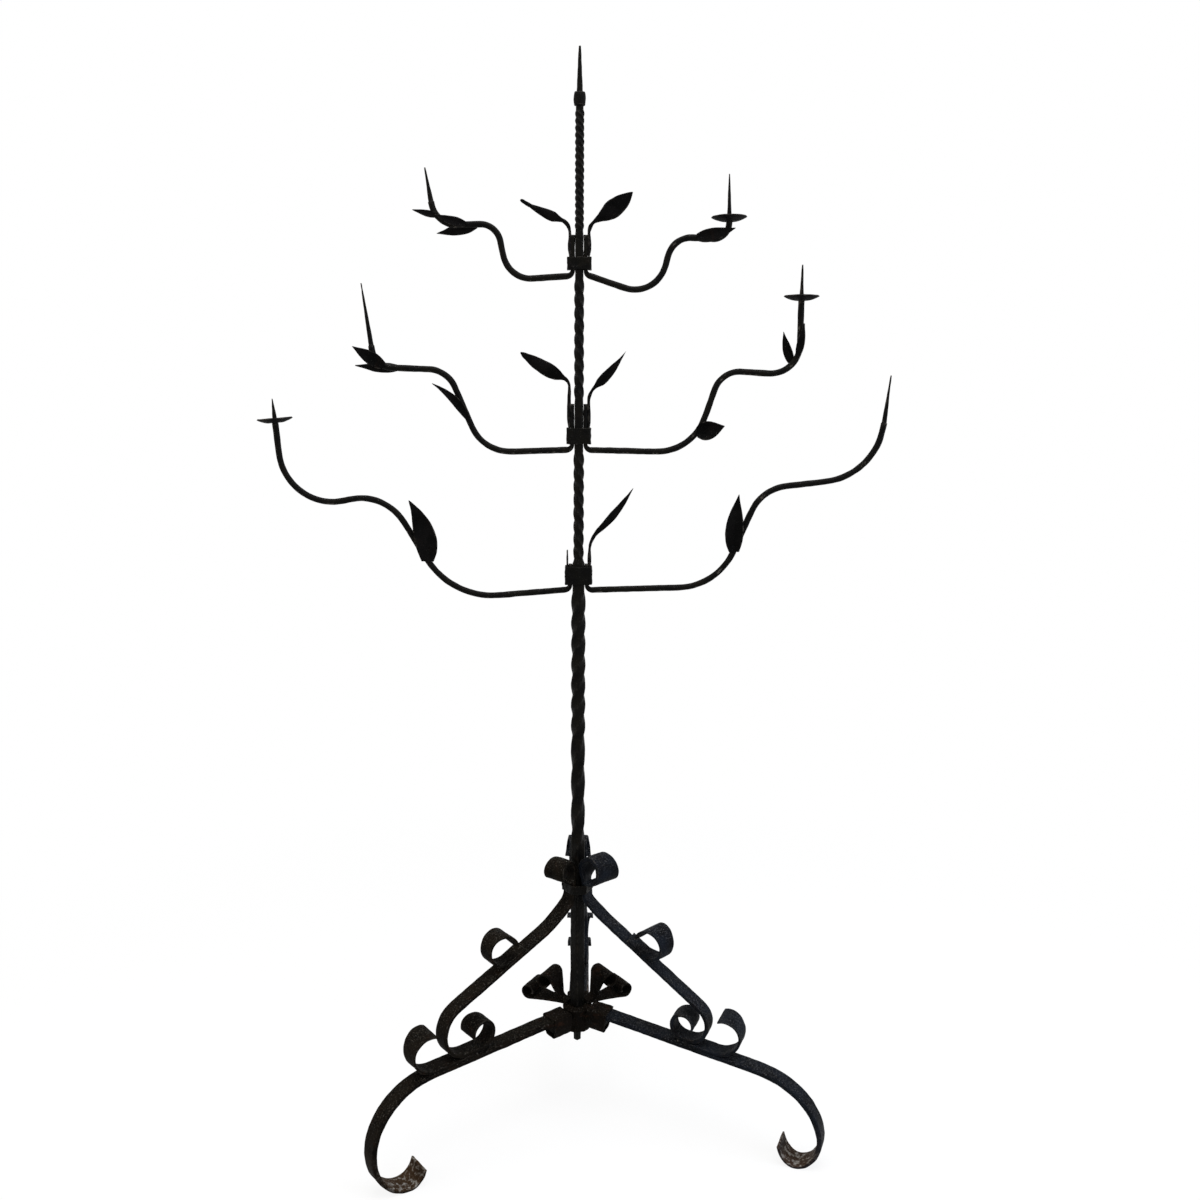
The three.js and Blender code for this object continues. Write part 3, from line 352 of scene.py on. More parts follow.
# %% Geometry Nodes tree: hammered skin
def new_geometry_tree(name, inputs):
    """A tree with a geometry input, the named inputs, and a geometry output."""
    tree = bpy.data.node_groups.new(name, "GeometryNodeTree")
    tree.interface.new_socket("Geometry", in_out="INPUT", socket_type="NodeSocketGeometry")
    for label, kind, value in inputs:
        socket = tree.interface.new_socket(label, in_out="INPUT", socket_type=kind)
        if value is not None:
            socket.default_value = value
    tree.interface.new_socket("Geometry", in_out="OUTPUT", socket_type="NodeSocketGeometry")
    return tree, tree.nodes.new("NodeGroupInput").outputs


def finish_geometry_tree(tree, geometry, material):
    """Every tree ends with real geometry in one material."""
    shade = add(tree, "GeometryNodeSetShadeSmooth", {"Geometry": geometry})
    real = add(tree, "GeometryNodeRealizeInstances", {"Geometry": shade.outputs[0]})
    painted = add(tree, "GeometryNodeSetMaterial", {"Geometry": real.outputs[0], "Material": material})
    out = tree.nodes.new("NodeGroupOutput")
    tree.links.new(painted.outputs[0], out.inputs[0])


def hammered(tree, geometry, inputs):
    """Adds the dents to a tree: a push along the normal by signed noise."""
    place = add(tree, "GeometryNodeInputPosition")
    dents = add(tree, "ShaderNodeTexNoise", {
        "Vector": place.outputs[0], "W": inputs["Seed"], "Scale": inputs["Dents per metre"],
        "Detail": 2.0, "Roughness": 0.45}, noise_dimensions="4D")
    push = add(tree, "ShaderNodeMapRange", {
        "Value": dents.outputs["Fac"], "From Min": 0.3, "From Max": 0.7, "To Min": -1.0, "To Max": 1.0},
        clamp=True)
    deep = add(tree, "ShaderNodeMath", {0: push.outputs[0], 1: inputs["Dent depth"]}, operation="MULTIPLY")
    normal = add(tree, "GeometryNodeInputNormal")
    offset = add(tree, "ShaderNodeVectorMath", {0: normal.outputs[0], "Scale": deep.outputs[0]},
                 operation="SCALE")
    return add(tree, "GeometryNodeSetPosition", {"Geometry": geometry, "Offset": offset.outputs[0]})


hammer_tree, hammer_in = new_geometry_tree("hammered skin", [
    ("Dents per metre", "NodeSocketFloat", 80.0),
    ("Dent depth", "NodeSocketFloat", 0.0003),
    ("Seed", "NodeSocketFloat", 1.0),
    ("Material", "NodeSocketMaterial", None),
])
struck = hammered(hammer_tree, hammer_in["Geometry"], hammer_in)
finish_geometry_tree(hammer_tree, struck.outputs[0], hammer_in["Material"])


def apply_tree(piece, tree, **values):
    """Runs a tree on a piece and keeps the result as a plain mesh."""
    modifier = piece.modifiers.new("forge", "NODES")
    modifier.node_group = tree
    sockets = {item.name: item.identifier for item in tree.interface.items_tree if item.in_out == "INPUT"}
    for label, value in values.items():
        modifier[sockets[label.replace("_", " ")]] = value
    bpy.context.view_layer.update()
    evaluated = piece.evaluated_get(bpy.context.evaluated_depsgraph_get())
    mesh = bpy.data.meshes.new_from_object(evaluated)
    piece.modifiers.clear()
    piece.data = mesh
    return piece


SEED_STEP = 3    # keeps the marks of one piece apart from those of the next
forged = []


def forge(name, mesh, nodes, material, depth, size):
    """Hammers a mesh, files off what would reach under the floor, and puts it in its nodes' place."""
    piece = bpy.data.objects.new(name, mesh)
    bpy.context.scene.collection.objects.link(piece)
    seed = float(len(forged) * SEED_STEP + 1)
    apply_tree(piece, hammer_tree, Dents_per_metre=1 / size, Dent_depth=depth, Seed=seed, Material=material)
    piece.data.name = name
    for vertex in piece.data.vertices:
        vertex.co.z = max(vertex.co.z, 0.0)
    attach(piece, body_of[nodes[0]])
    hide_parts(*nodes)
    forged.append(piece)


# %% [markdown]
# ## From a faceted sweep to a smooth one
# Every bar, strap and leaf in the CAD model is a sweep: one ring of points after another along a bent line.
# A Subdivision Surface would round such a piece, but it would also shrink its tips and melt its edges. Here
# the rings are read back from the mesh instead. A curve is run through each row of points, which gives new
# rings every few millimetres, and the corners of each ring are rounded to a real radius.

# %% Reading the rings of a swept piece
MERGE = 0.0005 * MM    # points of neighbouring triangles lie closer than this
MERGE_DISTANCES = [MERGE, 0.3 * MM, 0.45 * MM, 0.49 * MM]    # the wider ones join rings that nearly touch
LEAST_SHARE = 0.85    # a reading counts when its rings hold more than this share of the points
EVEN_VALENCE = 6    # edges at a point inside the sweep; the points of an end cap have more or fewer


def grown(seed, allowed):
    """All points that the seed reaches through allowed points."""
    found = {seed}
    edge_of = {seed}
    while edge_of:
        edge_of = {e.other_vert(v) for v in edge_of for e in v.link_edges} & allowed - found
        found |= edge_of
    return found


def in_order(members):
    """The points of one ring in order round it, or None where they aren't a ring.
    Edges across an end cap don't count."""
    inside = set(members)
    ring = [min(members, key=lambda v: v.index)]
    while len(ring) < len(members):
        rim = [e for e in ring[-1].link_edges if e.other_vert(ring[-1]) in inside
               and any(not inside.issuperset(face.verts) for face in e.link_faces)]
        onward = [e.other_vert(ring[-1]) for e in rim if e.other_vert(ring[-1]) not in ring]
        if not onward:
            return None
        ring.append(onward[0])
    return np.array([v.co[:] for v in ring])


def lined_up(rings):
    """Starts every ring at the same corner and runs it the same way round."""
    result = [rings[0]]
    for ring in rings[1:]:
        before = result[-1] - result[-1].mean(0)
        choices = [np.roll(order, shift, 0) for order in (ring, ring[::-1]) for shift in range(len(ring))]
        result.append(min(choices, key=lambda c: ((c - c.mean(0) - before) ** 2).sum()))
    return result


def rings_at(node, merge):
    """The runs of rings from both ends of a swept CAD piece, and the share of its points that they hold."""
    mesh = bmesh.new()
    mesh.from_mesh(frame["nodes"][node].data)
    bmesh.ops.remove_doubles(mesh, verts=mesh.verts, dist=merge)
    uneven = {v for v in mesh.verts if len(v.link_edges) != EVEN_VALENCE}
    caps = []
    while uneven:
        caps.append(grown(min(uneven, key=lambda v: v.index), uneven))
        uneven -= caps[-1]
    size = ring_size(node)
    seen = set()
    runs = []
    for cap in (cap for cap in caps if len(cap) == size):
        layer = cap - seen
        run = []
        while len(layer) == size and (ring := in_order(layer)) is not None:
            run.append(ring)
            seen |= layer
            layer = {e.other_vert(v) for v in layer for e in v.link_edges} - seen
        if run:
            runs.append(run)
    share = len(seen) / len(mesh.verts)
    mesh.free()
    return runs, share


def ring_size(node):
    """Points in a section: bars and legs have 8, leaves 6, and the thinner straps 4."""
    if node.endswith(("_arm", "_leg", "column")):
        return 8
    return 6 if node.endswith(("_leaf", "_bud", "_stem_stub")) else 4


def rings_of(node):
    """The rings of a swept CAD piece in one run, or in two where a flat cuts them."""
    tries = (rings_at(node, merge) for merge in MERGE_DISTANCES)
    runs = next(runs for runs, share in tries if share > LEAST_SHARE)
    if len(runs) == 1:
        return [np.array(lined_up(runs[0]))]
    both = np.array(lined_up(runs[0] + runs[1][::-1]))
    return [both[:len(runs[0])], both[len(runs[0]):]]


# %% [markdown]
# The curve through the rows of points is a Hermite spline. Where a straight run meets a bend, the direction
# at the joint is that of the longer step, because a bend starts in line with the straight before it. The
# foot of a leg is worn flat on the floor, which cuts its rings: there the curve bridges the flat, and the
# flat is filed again afterwards.

# %% Smoothing the sweep
BRIDGE_PARTS = 4
BRIDGE_LONGER = 1.04     # the curve over a flat against the straight line across it
SHOULDER = 0.2 * MM      # rings nearer than this are the two sides of a sharp step
LARGEST_SHARE = 0.49     # a rounded corner takes just under half of a side
CORNER_PARTS = 3
CAP_INSET = 0.8          # the size of the ring inside an end cap


def between(start, end, start_slope, end_slope, span, share):
    """A point on the Hermite curve from start to end."""
    t = share
    return ((2 * t ** 3 - 3 * t ** 2 + 1) * start + (t ** 3 - 2 * t ** 2 + t) * span * start_slope
            + (3 * t ** 2 - 2 * t ** 3) * end + (t ** 3 - t ** 2) * span * end_slope)


def spans_of(rings):
    return np.linalg.norm(np.diff(rings.mean(1), axis=0), axis=1)


def bridged(runs):
    """Joins the two runs of a leg with rings on the curve that both ends lead into."""
    if len(runs) == 1:
        return runs[0]
    first, second = runs
    # the slope at each end carries on as it was changing over the last half step
    slopes = [np.diff(run, axis=0) / spans_of(run)[:, None, None] for run in runs]
    leave = 1.5 * slopes[0][-1] - 0.5 * slopes[0][-2]
    arrive = 1.5 * slopes[1][0] - 0.5 * slopes[1][1]
    span = float(np.linalg.norm(second[0].mean(0) - first[-1].mean(0))) * BRIDGE_LONGER
    bridge = [between(first[-1], second[0], leave, arrive, span, k / BRIDGE_PARTS)
              for k in range(1, BRIDGE_PARTS)]
    return np.concatenate([first, bridge, second])


def smoothed(rings, step):
    """Adds rings between the given ones, no more than a step apart, on smooth curves."""
    spans = spans_of(rings)
    shoulders = np.flatnonzero(spans < SHOULDER)
    if len(shoulders):
        cut = int(shoulders[0]) + 1
        return np.concatenate([smoothed(rings[:cut], step), smoothed(rings[cut:], step)])
    if len(rings) == 1:
        return rings
    slopes = np.diff(rings, axis=0) / spans[:, None, None]
    weight = (spans ** 2)[:, None, None]
    inner = (weight[:-1] * slopes[:-1] + weight[1:] * slopes[1:]) / (weight[:-1] + weight[1:])
    tangents = np.concatenate([slopes[:1], inner, slopes[-1:]])
    result = [rings[0]]
    for i, span in enumerate(spans):
        count = max(1, math.ceil(span / step))
        result += [between(rings[i], rings[i + 1], tangents[i], tangents[i + 1], span, k / count)
                   for k in range(1, count + 1)]
    return np.array(result)


def rounded(rings, radius, spacing):
    """Rounds each corner of the rings and divides the sides between them to the given spacing."""
    count = rings.shape[1]
    columns = []
    for i in range(count):
        corner = rings[:, i]
        following = rings[:, (i + 1) % count]
        before = rings[:, i - 1] - corner
        after = following - corner
        share_before = np.minimum(radius / np.linalg.norm(before, axis=1, keepdims=True), LARGEST_SHARE)
        share_after = np.minimum(radius / np.linalg.norm(after, axis=1, keepdims=True), LARGEST_SHARE)
        start = corner + before * share_before
        end = corner + after * share_after
        for k in range(CORNER_PARTS + 1):
            t = k / CORNER_PARTS
            columns.append((1 - t) ** 2 * start + 2 * t * (1 - t) * corner + t ** 2 * end)
        next_start = following - after * share_after
        pieces = max(1, round(float(np.linalg.norm(after, axis=1).max()) / spacing))
        columns += [end + (next_start - end) * (k / pieces) for k in range(1, pieces)]
    return np.stack(columns, axis=1)


def outward(mesh):
    """Turns all faces of a closed mesh outwards."""
    shell = bmesh.new()
    shell.from_mesh(mesh)
    bmesh.ops.recalc_face_normals(shell, faces=shell.faces)
    shell.to_mesh(mesh)
    shell.free()
    return mesh


def skin(name, rings):
    """A closed mesh over rings, with each end capped round a middle point."""
    count, size = rings.shape[:2]
    points = [tuple(p) for ring in rings for p in ring]
    faces = [(ring * size + side, ring * size + (side + 1) % size,
              (ring + 1) * size + (side + 1) % size, (ring + 1) * size + side)
             for ring in range(count - 1) for side in range(size)]
    for ring in (0, count - 1):
        centre = rings[ring].mean(0)
        inset = len(points)
        points += [tuple(centre + CAP_INSET * (p - centre)) for p in rings[ring]] + [tuple(centre)]
        for side in range(size):
            beside = (side + 1) % size
            faces.append((ring * size + side, ring * size + beside, inset + beside, inset + side))
            faces.append((inset + side, inset + beside, inset + size))
    mesh = bpy.data.meshes.new(name)
    mesh.from_pydata(points, [], faces)
    return outward(mesh)


# %% [markdown]
# ## Bars: the six arms
# Each arm is a round bar of about 9 mm. Its root is hammered flat where the collar holds it, and its end is
# drawn out to a candle spike. The corners of the CAD octagon are rounded so far that the section is a circle.

# %% Arms
BAR_STEP = 3.2 * MM
BAR_SPACING = 2.0 * MM
BAR_CORNER = 5 * MM
BAR_DENT = {"depth": 0.3 * MM, "size": 14 * MM}
for node in [n for n in frame["nodes"] if n.endswith("_arm")]:
    rings = rounded(smoothed(bridged(rings_of(node)), BAR_STEP), BAR_CORNER, BAR_SPACING)
    forge(node + "_forged", skin(node, rings), [node], bar_paint, **BAR_DENT)
print("arms:", len(forged))

# %% [markdown]
# ## Straps: legs, braces, curls, hooks and scrolls
# These are flat bars, scrolled round a jig while hot. Their long edges are rounded by the hammer to a radius
# of about 1.5 mm, which catches a thin line of light along every curve.

# %% Straps
STRAP_STEP = 3.0 * MM
STRAP_SPACING = 2.6 * MM
STRAP_CORNER = 1.5 * MM
THIN_STRAP_CORNER = 1.1 * MM
STRAP_DENT = {"depth": 0.35 * MM, "size": 13 * MM}


def finish_for(node):
    """Hub ironwork is rusty; the other straps get the paint with the painted light of their side:
    a warm cast on the left, and a cool one on the right and at the rear.
    """
    if slot_of[node] == "rusty_wrought_iron":
        return rusty_iron
    return sides[node.split("_")[0]]


# Some ends were rolled askew, turned towards the front of the stand, and spread as they were rolled. The
# twist begins above the brace collar, or where the tail of a curl leaves the brace.
ASKEW = {    # node: (turn about the upright in degrees, spread of the end, length before the twist in metres)
    "right_brace": (-26, 1.3, None),
    "left_brace": (14, 1.1, None),
    "right_brace_curl": (-22, 1.1, 32 * MM),
}
TWIST_LENGTH = 26 * MM
LEVERED_OFF = 3 * MM    # the twisted end stands this much further from the column
COLLAR_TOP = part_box("brace_collar")[1].z


def askew(rings, turn, spread, begin):
    """Turns and spreads the free end of a strap past the place where its twist begins."""
    middle = rings.mean(1)
    if begin is None:
        held_first = np.hypot(*(middle[0, :2] - (column_x, column_y))) > np.hypot(
            *(middle[-1, :2] - (column_x, column_y)))
    else:
        centre = middle.mean(0)
        held_first = np.linalg.norm(middle[0] - centre) > np.linalg.norm(middle[-1] - centre)
    if not held_first:
        rings, middle = rings[::-1], middle[::-1]
    length = np.concatenate([[0], np.cumsum(spans_of(rings))])
    first = int(np.argmax(middle[:, 2] > COLLAR_TOP)) if begin is None else int(np.argmax(length > begin))
    share = np.clip((length - length[first]) / TWIST_LENGTH, 0, 1)
    share = share * share * (3 - 2 * share)
    angle = np.radians(turn) * share
    width = rings - middle[:, None]
    points = middle[:, None] + width * (1 + (spread - 1) * share)[:, None, None]
    offset = points[:, :, :2] - middle[first, :2]
    cos, sin = np.cos(angle)[:, None], np.sin(angle)[:, None]
    x, y = offset[..., 0], offset[..., 1]
    turned = np.stack([cos * x - sin * y, sin * x + cos * y], 2)
    away = middle[first, :2] - (column_x, column_y)
    push = (away / np.linalg.norm(away))[None] * (LEVERED_OFF * share)[:, None]
    return np.concatenate([turned + middle[first, :2] + push[:, None], points[:, :, 2:]], axis=2)


# painted light: the left straps get a warm cast, the right and rear straps a cool cast
sides = {"left": strap_paint_in_painted_warm_light, "right": strap_paint_in_painted_cool_light, "rear": strap_paint_in_painted_cool_light}
straps = [n for n in frame["nodes"] if n.endswith(("_leg", "_brace", "_curl", "_hook", "_scroll"))]
for node in straps:
    corner = STRAP_CORNER if node.endswith(("_leg", "_brace")) else THIN_STRAP_CORNER
    rings = smoothed(bridged(rings_of(node)), STRAP_STEP)
    if node in ASKEW:
        rings = askew(rings, *ASKEW[node])
    rings = rounded(rings, corner, STRAP_SPACING)
    forge(node + "_forged", skin(node, rings), [node], finish_for(node), **STRAP_DENT)
print("straps:", len(straps))

# %% [markdown]
# ## Leaves
# A leaf is cut from sheet about 2 mm thick, dished over a hollow in the anvil, and creased along its middle.
# The CAD leaf has six points in each section: three above and three below. A parabola through each three
# gives the dish, and a low ridge on it gives the vein.

# %% Leaves
LEAF_STEP = 2.0 * MM
LEAST_STEP = 1.0 * MM    # two rings at one bend are nearer than this, and one of them is enough
LEAF_PARTS = 12
VEIN_HEIGHT = 0.5 * MM
VEIN_HEIGHT_SHARE = 0.03    # of the leaf's width, where the leaf is narrow
VEIN_WIDTH = 0.07           # share of the leaf's width
RIM_ROUNDING = 0.25         # how far each rim point moves towards the other face
LEAF_DENT = {"depth": 0.4 * MM, "size": 16 * MM}


def leaf_section(rings):
    """Turns rings of six points into dished sections with a vein and rounded rims."""
    sides_long = np.linalg.norm(rings - np.roll(rings, -1, 1), axis=2).mean(0)
    rim = int(np.argmin(sides_long[:3] + sides_long[3:]))
    rings = np.roll(rings, -(rim + 1), 1)
    faces = (rings[:, :3], rings[:, 3:])
    columns = []
    for side, other in ((faces[0], faces[1]), (faces[1], faces[0])):
        up = side[:, 1] - other[:, 1]
        up /= np.linalg.norm(up, axis=1, keepdims=True)
        width = np.linalg.norm(side[:, 2] - side[:, 0], axis=1, keepdims=True)
        ridge = np.minimum(VEIN_HEIGHT, width * VEIN_HEIGHT_SHARE) * (1 if side is faces[0] else -1)
        for k in range(LEAF_PARTS + 1):
            u = k / LEAF_PARTS
            low, middle, high = (1 - u) * (1 - 2 * u), 4 * u * (1 - u), u * (2 * u - 1)
            vein = math.exp(-((u - 0.5) / VEIN_WIDTH) ** 2)
            point = low * side[:, 0] + middle * side[:, 1] + high * side[:, 2] + up * ridge * vein
            if k in (0, LEAF_PARTS):
                across = other[:, 2] if k == 0 else other[:, 0]
                point = point + (across - point) * RIM_ROUNDING
            columns.append(point)
    return np.stack(columns, axis=1)


# Each blade's width against the plain leaf is listed, by share of the length from the collar.
BLADE_WIDTHS = {
    "upper_left_stem_leaf": [
        (0.42, 1.0), (0.52, 0.7), (0.62, 1.0), (0.74, 0.8), (0.88, 0.6), (0.95, 1.3), (1.0, 3.0)],
    "upper_right_stem_leaf": [
        (0.42, 1.0), (0.50, 0.5), (0.58, 0.6), (0.70, 1.0), (0.84, 1.25), (0.94, 1.6), (1.0, 1.8)],
    "middle_left_stem_leaf": [(0.42, 1.0), (0.50, 0.6), (0.62, 1.0), (0.80, 1.1), (0.94, 1.5), (1.0, 2.5)],
    "middle_right_stem_leaf": [(0.42, 1.0), (0.50, 0.6), (0.62, 1.0), (0.80, 0.85), (0.92, 0.6), (1.0, 0.6)],
    "lower_right_stem_leaf": [(1.0, 1.0)],
}
STEM_THICKNESS = [(0.13, 1.0), (0.20, 2.3), (0.44, 2.1), (0.56, 1.0)]    # the stem is nearly round


def cut_by_eye(rings, widths):
    """Widens or narrows a blade along its length, and thickens its stem."""
    middle = rings.mean(1)
    from_axis = np.hypot(middle[:, 0] - column_x, middle[:, 1] - column_y)
    if from_axis[0] > from_axis[-1]:
        rings, middle = rings[::-1], middle[::-1]
    share = np.concatenate([[0], np.cumsum(spans_of(rings))])
    share /= share[-1]
    opposite = rings.shape[1] // 2
    through = rings[:, LEAF_PARTS // 2] - rings[:, LEAF_PARTS // 2 + opposite]
    through /= np.linalg.norm(through, axis=1, keepdims=True)
    offset = rings - middle[:, None]
    depth = (offset * through[:, None]).sum(2, keepdims=True) * through[:, None]
    wider = np.interp(share, *zip(*widths))[:, None, None]
    thicker = np.interp(share, *zip(*STEM_THICKNESS))[:, None, None]
    return middle[:, None] + (offset - depth) * wider + depth * thicker


leaves = [n for n in frame["nodes"] if n.endswith(("_leaf", "_bud", "_stem_stub"))]
for node in leaves:
    rings = bridged(rings_of(node))
    apart = np.concatenate([[True], spans_of(rings) > LEAST_STEP])
    rings = leaf_section(smoothed(rings[apart], LEAF_STEP))
    if node in BLADE_WIDTHS:
        rings = cut_by_eye(rings, BLADE_WIDTHS[node])
    forge(node + "_forged", skin(node, rings), [node], sheet_paint, **LEAF_DENT)
print("leaves:", len(leaves))

# %% [markdown]
# ## The twisted column
# The column is one square bar. The smith heated it and turned one end against the other, first one way and
# then the other, and drew it thinner at each tier. That follows a rule: a square, turned by an angle that
# grows evenly with the height. So a Geometry Nodes tree sweeps the square along a line and turns each
# section by the angle stored on its point. Heights, sides and angles are read from the rings of the CAD bar.

# %% Geometry Nodes tree: twisted bar
twist_tree, twist_in = new_geometry_tree("twisted bar", [
    ("Corner radius", "NodeSocketFloat", 0.12),
    ("Section spacing", "NodeSocketFloat", 0.09),
    ("Axis place", "NodeSocketVector", None),
    ("Dents per metre", "NodeSocketFloat", 80.0),
    ("Dent depth", "NodeSocketFloat", 0.0003),
    ("Seed", "NodeSocketFloat", 1.0),
    ("Material", "NodeSocketMaterial", None),
])
roundness = add(twist_tree, "GeometryNodeInputNamedAttribute", {"Name": "roundness"}).outputs[0]
side = add(twist_tree, "GeometryNodeInputNamedAttribute", {"Name": "side"}).outputs[0]
turn = add(twist_tree, "GeometryNodeInputNamedAttribute", {"Name": "turn"}).outputs[0]
line = add(twist_tree, "GeometryNodeMeshToCurve", {"Mesh": twist_in["Geometry"]})
square = add(twist_tree, "GeometryNodeCurvePrimitiveQuadrilateral", {"Width": 1.0, "Height": 1.0})
soft_square = add(twist_tree, "GeometryNodeFilletCurve", {
    "Curve": square.outputs[0], "Radius": twist_in["Corner radius"], "Count": 4}, mode="POLY")
section = add(twist_tree, "GeometryNodeResampleCurve", {
    "Curve": soft_square.outputs[0], "Length": twist_in["Section spacing"]}, mode="LENGTH")
bar = add(twist_tree, "GeometryNodeCurveToMesh", {
    "Curve": line.outputs[0], "Profile Curve": section.outputs[0], "Fill Caps": True})
place = add(twist_tree, "GeometryNodeInputPosition")
height = add(twist_tree, "ShaderNodeVectorMath", {0: place.outputs[0], 1: (0, 0, 1)}, operation="MULTIPLY")
across = add(twist_tree, "ShaderNodeVectorMath", {0: place.outputs[0], 1: (1, 1, 0)}, operation="MULTIPLY")
circle = add(twist_tree, "ShaderNodeVectorMath", {0: across.outputs[0]}, operation="NORMALIZE")
half_round = add(twist_tree, "ShaderNodeVectorMath", {0: circle.outputs[0], "Scale": 0.5}, operation="SCALE")
shape = add(twist_tree, "ShaderNodeMix", {
    "Factor": roundness, 4: across.outputs[0], 5: half_round.outputs[0]}, data_type="VECTOR")
sized = add(twist_tree, "ShaderNodeVectorMath", {0: shape.outputs[1], "Scale": side},
            operation="SCALE")
turned = add(twist_tree, "ShaderNodeVectorRotate", {"Vector": sized.outputs[0], "Angle": turn},
             rotation_type="Z_AXIS")
raised = add(twist_tree, "ShaderNodeVectorMath", {0: turned.outputs[0], 1: height.outputs[0]},
             operation="ADD")
moved = add(twist_tree, "ShaderNodeVectorMath", {0: raised.outputs[0], 1: twist_in["Axis place"]},
            operation="ADD")
twisted = add(twist_tree, "GeometryNodeSetPosition", {"Geometry": bar.outputs[0],
                                                      "Position": moved.outputs[0]})
struck = hammered(twist_tree, twisted.outputs[0], twist_in)
finish_geometry_tree(twist_tree, struck.outputs[0], twist_in["Material"])

# %% Column
COLUMN_STEP = 1.6 * MM
SPIKE_RINGS = 3          # the last rings of the bar belong to its round spike
COLUMN_CORNER = 0.2      # share of the side
COLUMN_SPACING = 0.09    # share of the side
COLUMN_DENTS_PER_METRE = 90.0
COLUMN_DENT_DEPTH = 0.25 * MM
COLUMN_SEED = 7.0
column_rings = rings_of("column")[0]
if column_rings[0][0][2] > column_rings[-1][0][2]:
    column_rings = column_rings[::-1]
axis_point = np.array([column_x, column_y])
ring_height = column_rings[:, 0, 2]
middle_of_side = (column_rings[:, 0, :2] + column_rings[:, 1, :2]) / 2 - axis_point
next_middle = (column_rings[:, 1, :2] + column_rings[:, 2, :2]) / 2 - axis_point
side_is_first = np.linalg.norm(middle_of_side, axis=1)[1] < np.linalg.norm(next_middle, axis=1)[1]
face_middle = middle_of_side if side_is_first else next_middle
ring_side = 2 * np.linalg.norm(face_middle, axis=1)
ring_turn = np.unwrap(np.arctan2(face_middle[:, 1], face_middle[:, 0]))
spike_start = len(ring_height) - SPIKE_RINGS
ring_round = np.where(np.arange(len(ring_height)) >= spike_start, 1.0, 0.0)
tables = (ring_height, ring_side, ring_turn, ring_round)
stations = []
for i in range(len(ring_height) - 1):
    rise = ring_height[i + 1] - ring_height[i]
    count = max(1, math.ceil(rise / COLUMN_STEP))
    for k in range(count):
        t = k / count
        stations.append([(1 - t) * a[i] + t * a[i + 1] for a in tables])
stations.append([a[-1] for a in tables])
line_mesh = bpy.data.meshes.new("column line")
line_mesh.from_pydata([(0, 0, s[0]) for s in stations], [(i, i + 1) for i in range(len(stations) - 1)], [])
for index, label in ((1, "side"), (2, "turn"), (3, "roundness")):
    values = line_mesh.attributes.new(label, "FLOAT", "POINT")
    values.data.foreach_set("value", [s[index] for s in stations])
column = bpy.data.objects.new("column_forged", line_mesh)
bpy.context.scene.collection.objects.link(column)
apply_tree(column, twist_tree, Axis_place=(column_x, column_y, 0.0), Corner_radius=COLUMN_CORNER,
           Section_spacing=COLUMN_SPACING, Dents_per_metre=COLUMN_DENTS_PER_METRE,
           Dent_depth=COLUMN_DENT_DEPTH, Seed=COLUMN_SEED, Material=bar_paint)
outward(column.data)
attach(column, body_of["column"])
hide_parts("column")
print("column:", len(column.data.polygons), "faces, sides", sorted({round(s * 1000, 1) for s in ring_side}))

# %% [markdown]
# ## Collars, bands and hub
# A collar is a strip of hot iron wrapped round the bars and hammered tight, so its corners are soft. The hub
# was forged from a thick disc. A Bevel rounds their edges, a voxel Remesh spreads points evenly over them,
# and then they take hammer marks like everything else.

# %% Collars, bands and hub
FLAT_ANGLE = math.radians(1)      # faces that turn less than this are one face
EDGE_ANGLE = math.radians(35)     # edges that turn more than this are rounded


def softened(node, edge, voxel, smoothing):
    """A copy of a CAD node with rounded edges and an even mesh."""
    mesh = frame["nodes"][node].data.copy()
    shell = bmesh.new()
    shell.from_mesh(mesh)
    bmesh.ops.remove_doubles(shell, verts=shell.verts, dist=MERGE)
    bmesh.ops.dissolve_limit(shell, angle_limit=FLAT_ANGLE, verts=shell.verts, edges=shell.edges)
    shell.to_mesh(mesh)
    shell.free()
    piece = bpy.data.objects.new(node, mesh)
    bpy.context.scene.collection.objects.link(piece)
    bevel = piece.modifiers.new("rounded edges", "BEVEL")
    bevel.width = edge
    bevel.segments = 2
    bevel.limit_method = "ANGLE"
    bevel.angle_limit = EDGE_ANGLE
    even = piece.modifiers.new("even mesh", "REMESH")
    even.mode = "VOXEL"
    even.voxel_size = voxel
    smooth = piece.modifiers.new("hammered soft", "SMOOTH")
    smooth.iterations = smoothing
    bpy.context.view_layer.update()
    result = bpy.data.meshes.new_from_object(piece.evaluated_get(bpy.context.evaluated_depsgraph_get()))
    bpy.data.objects.remove(piece)
    return result


BAND_WIDER = 1.4     # the strap round a leg is wider than its plain solid
BAND_LOWER = 1.45    # and its closed ends hang below the leg


def wrapped(mesh):
    """Widens a leg's band along its leg and lets it hang lower."""
    points = np.array([v.co[:] for v in mesh.vertices])
    centre = (points.min(0) + points.max(0)) / 2
    along = np.array([centre[0] - column_x, centre[1] - column_y, 0.0])
    along /= np.linalg.norm(along)
    offset = points - centre
    points += np.outer(offset @ along * (BAND_WIDER - 1), along)
    points[:, 2] += np.minimum(offset[:, 2], 0) * (BAND_LOWER - 1)
    mesh.vertices.foreach_set("co", points.ravel())


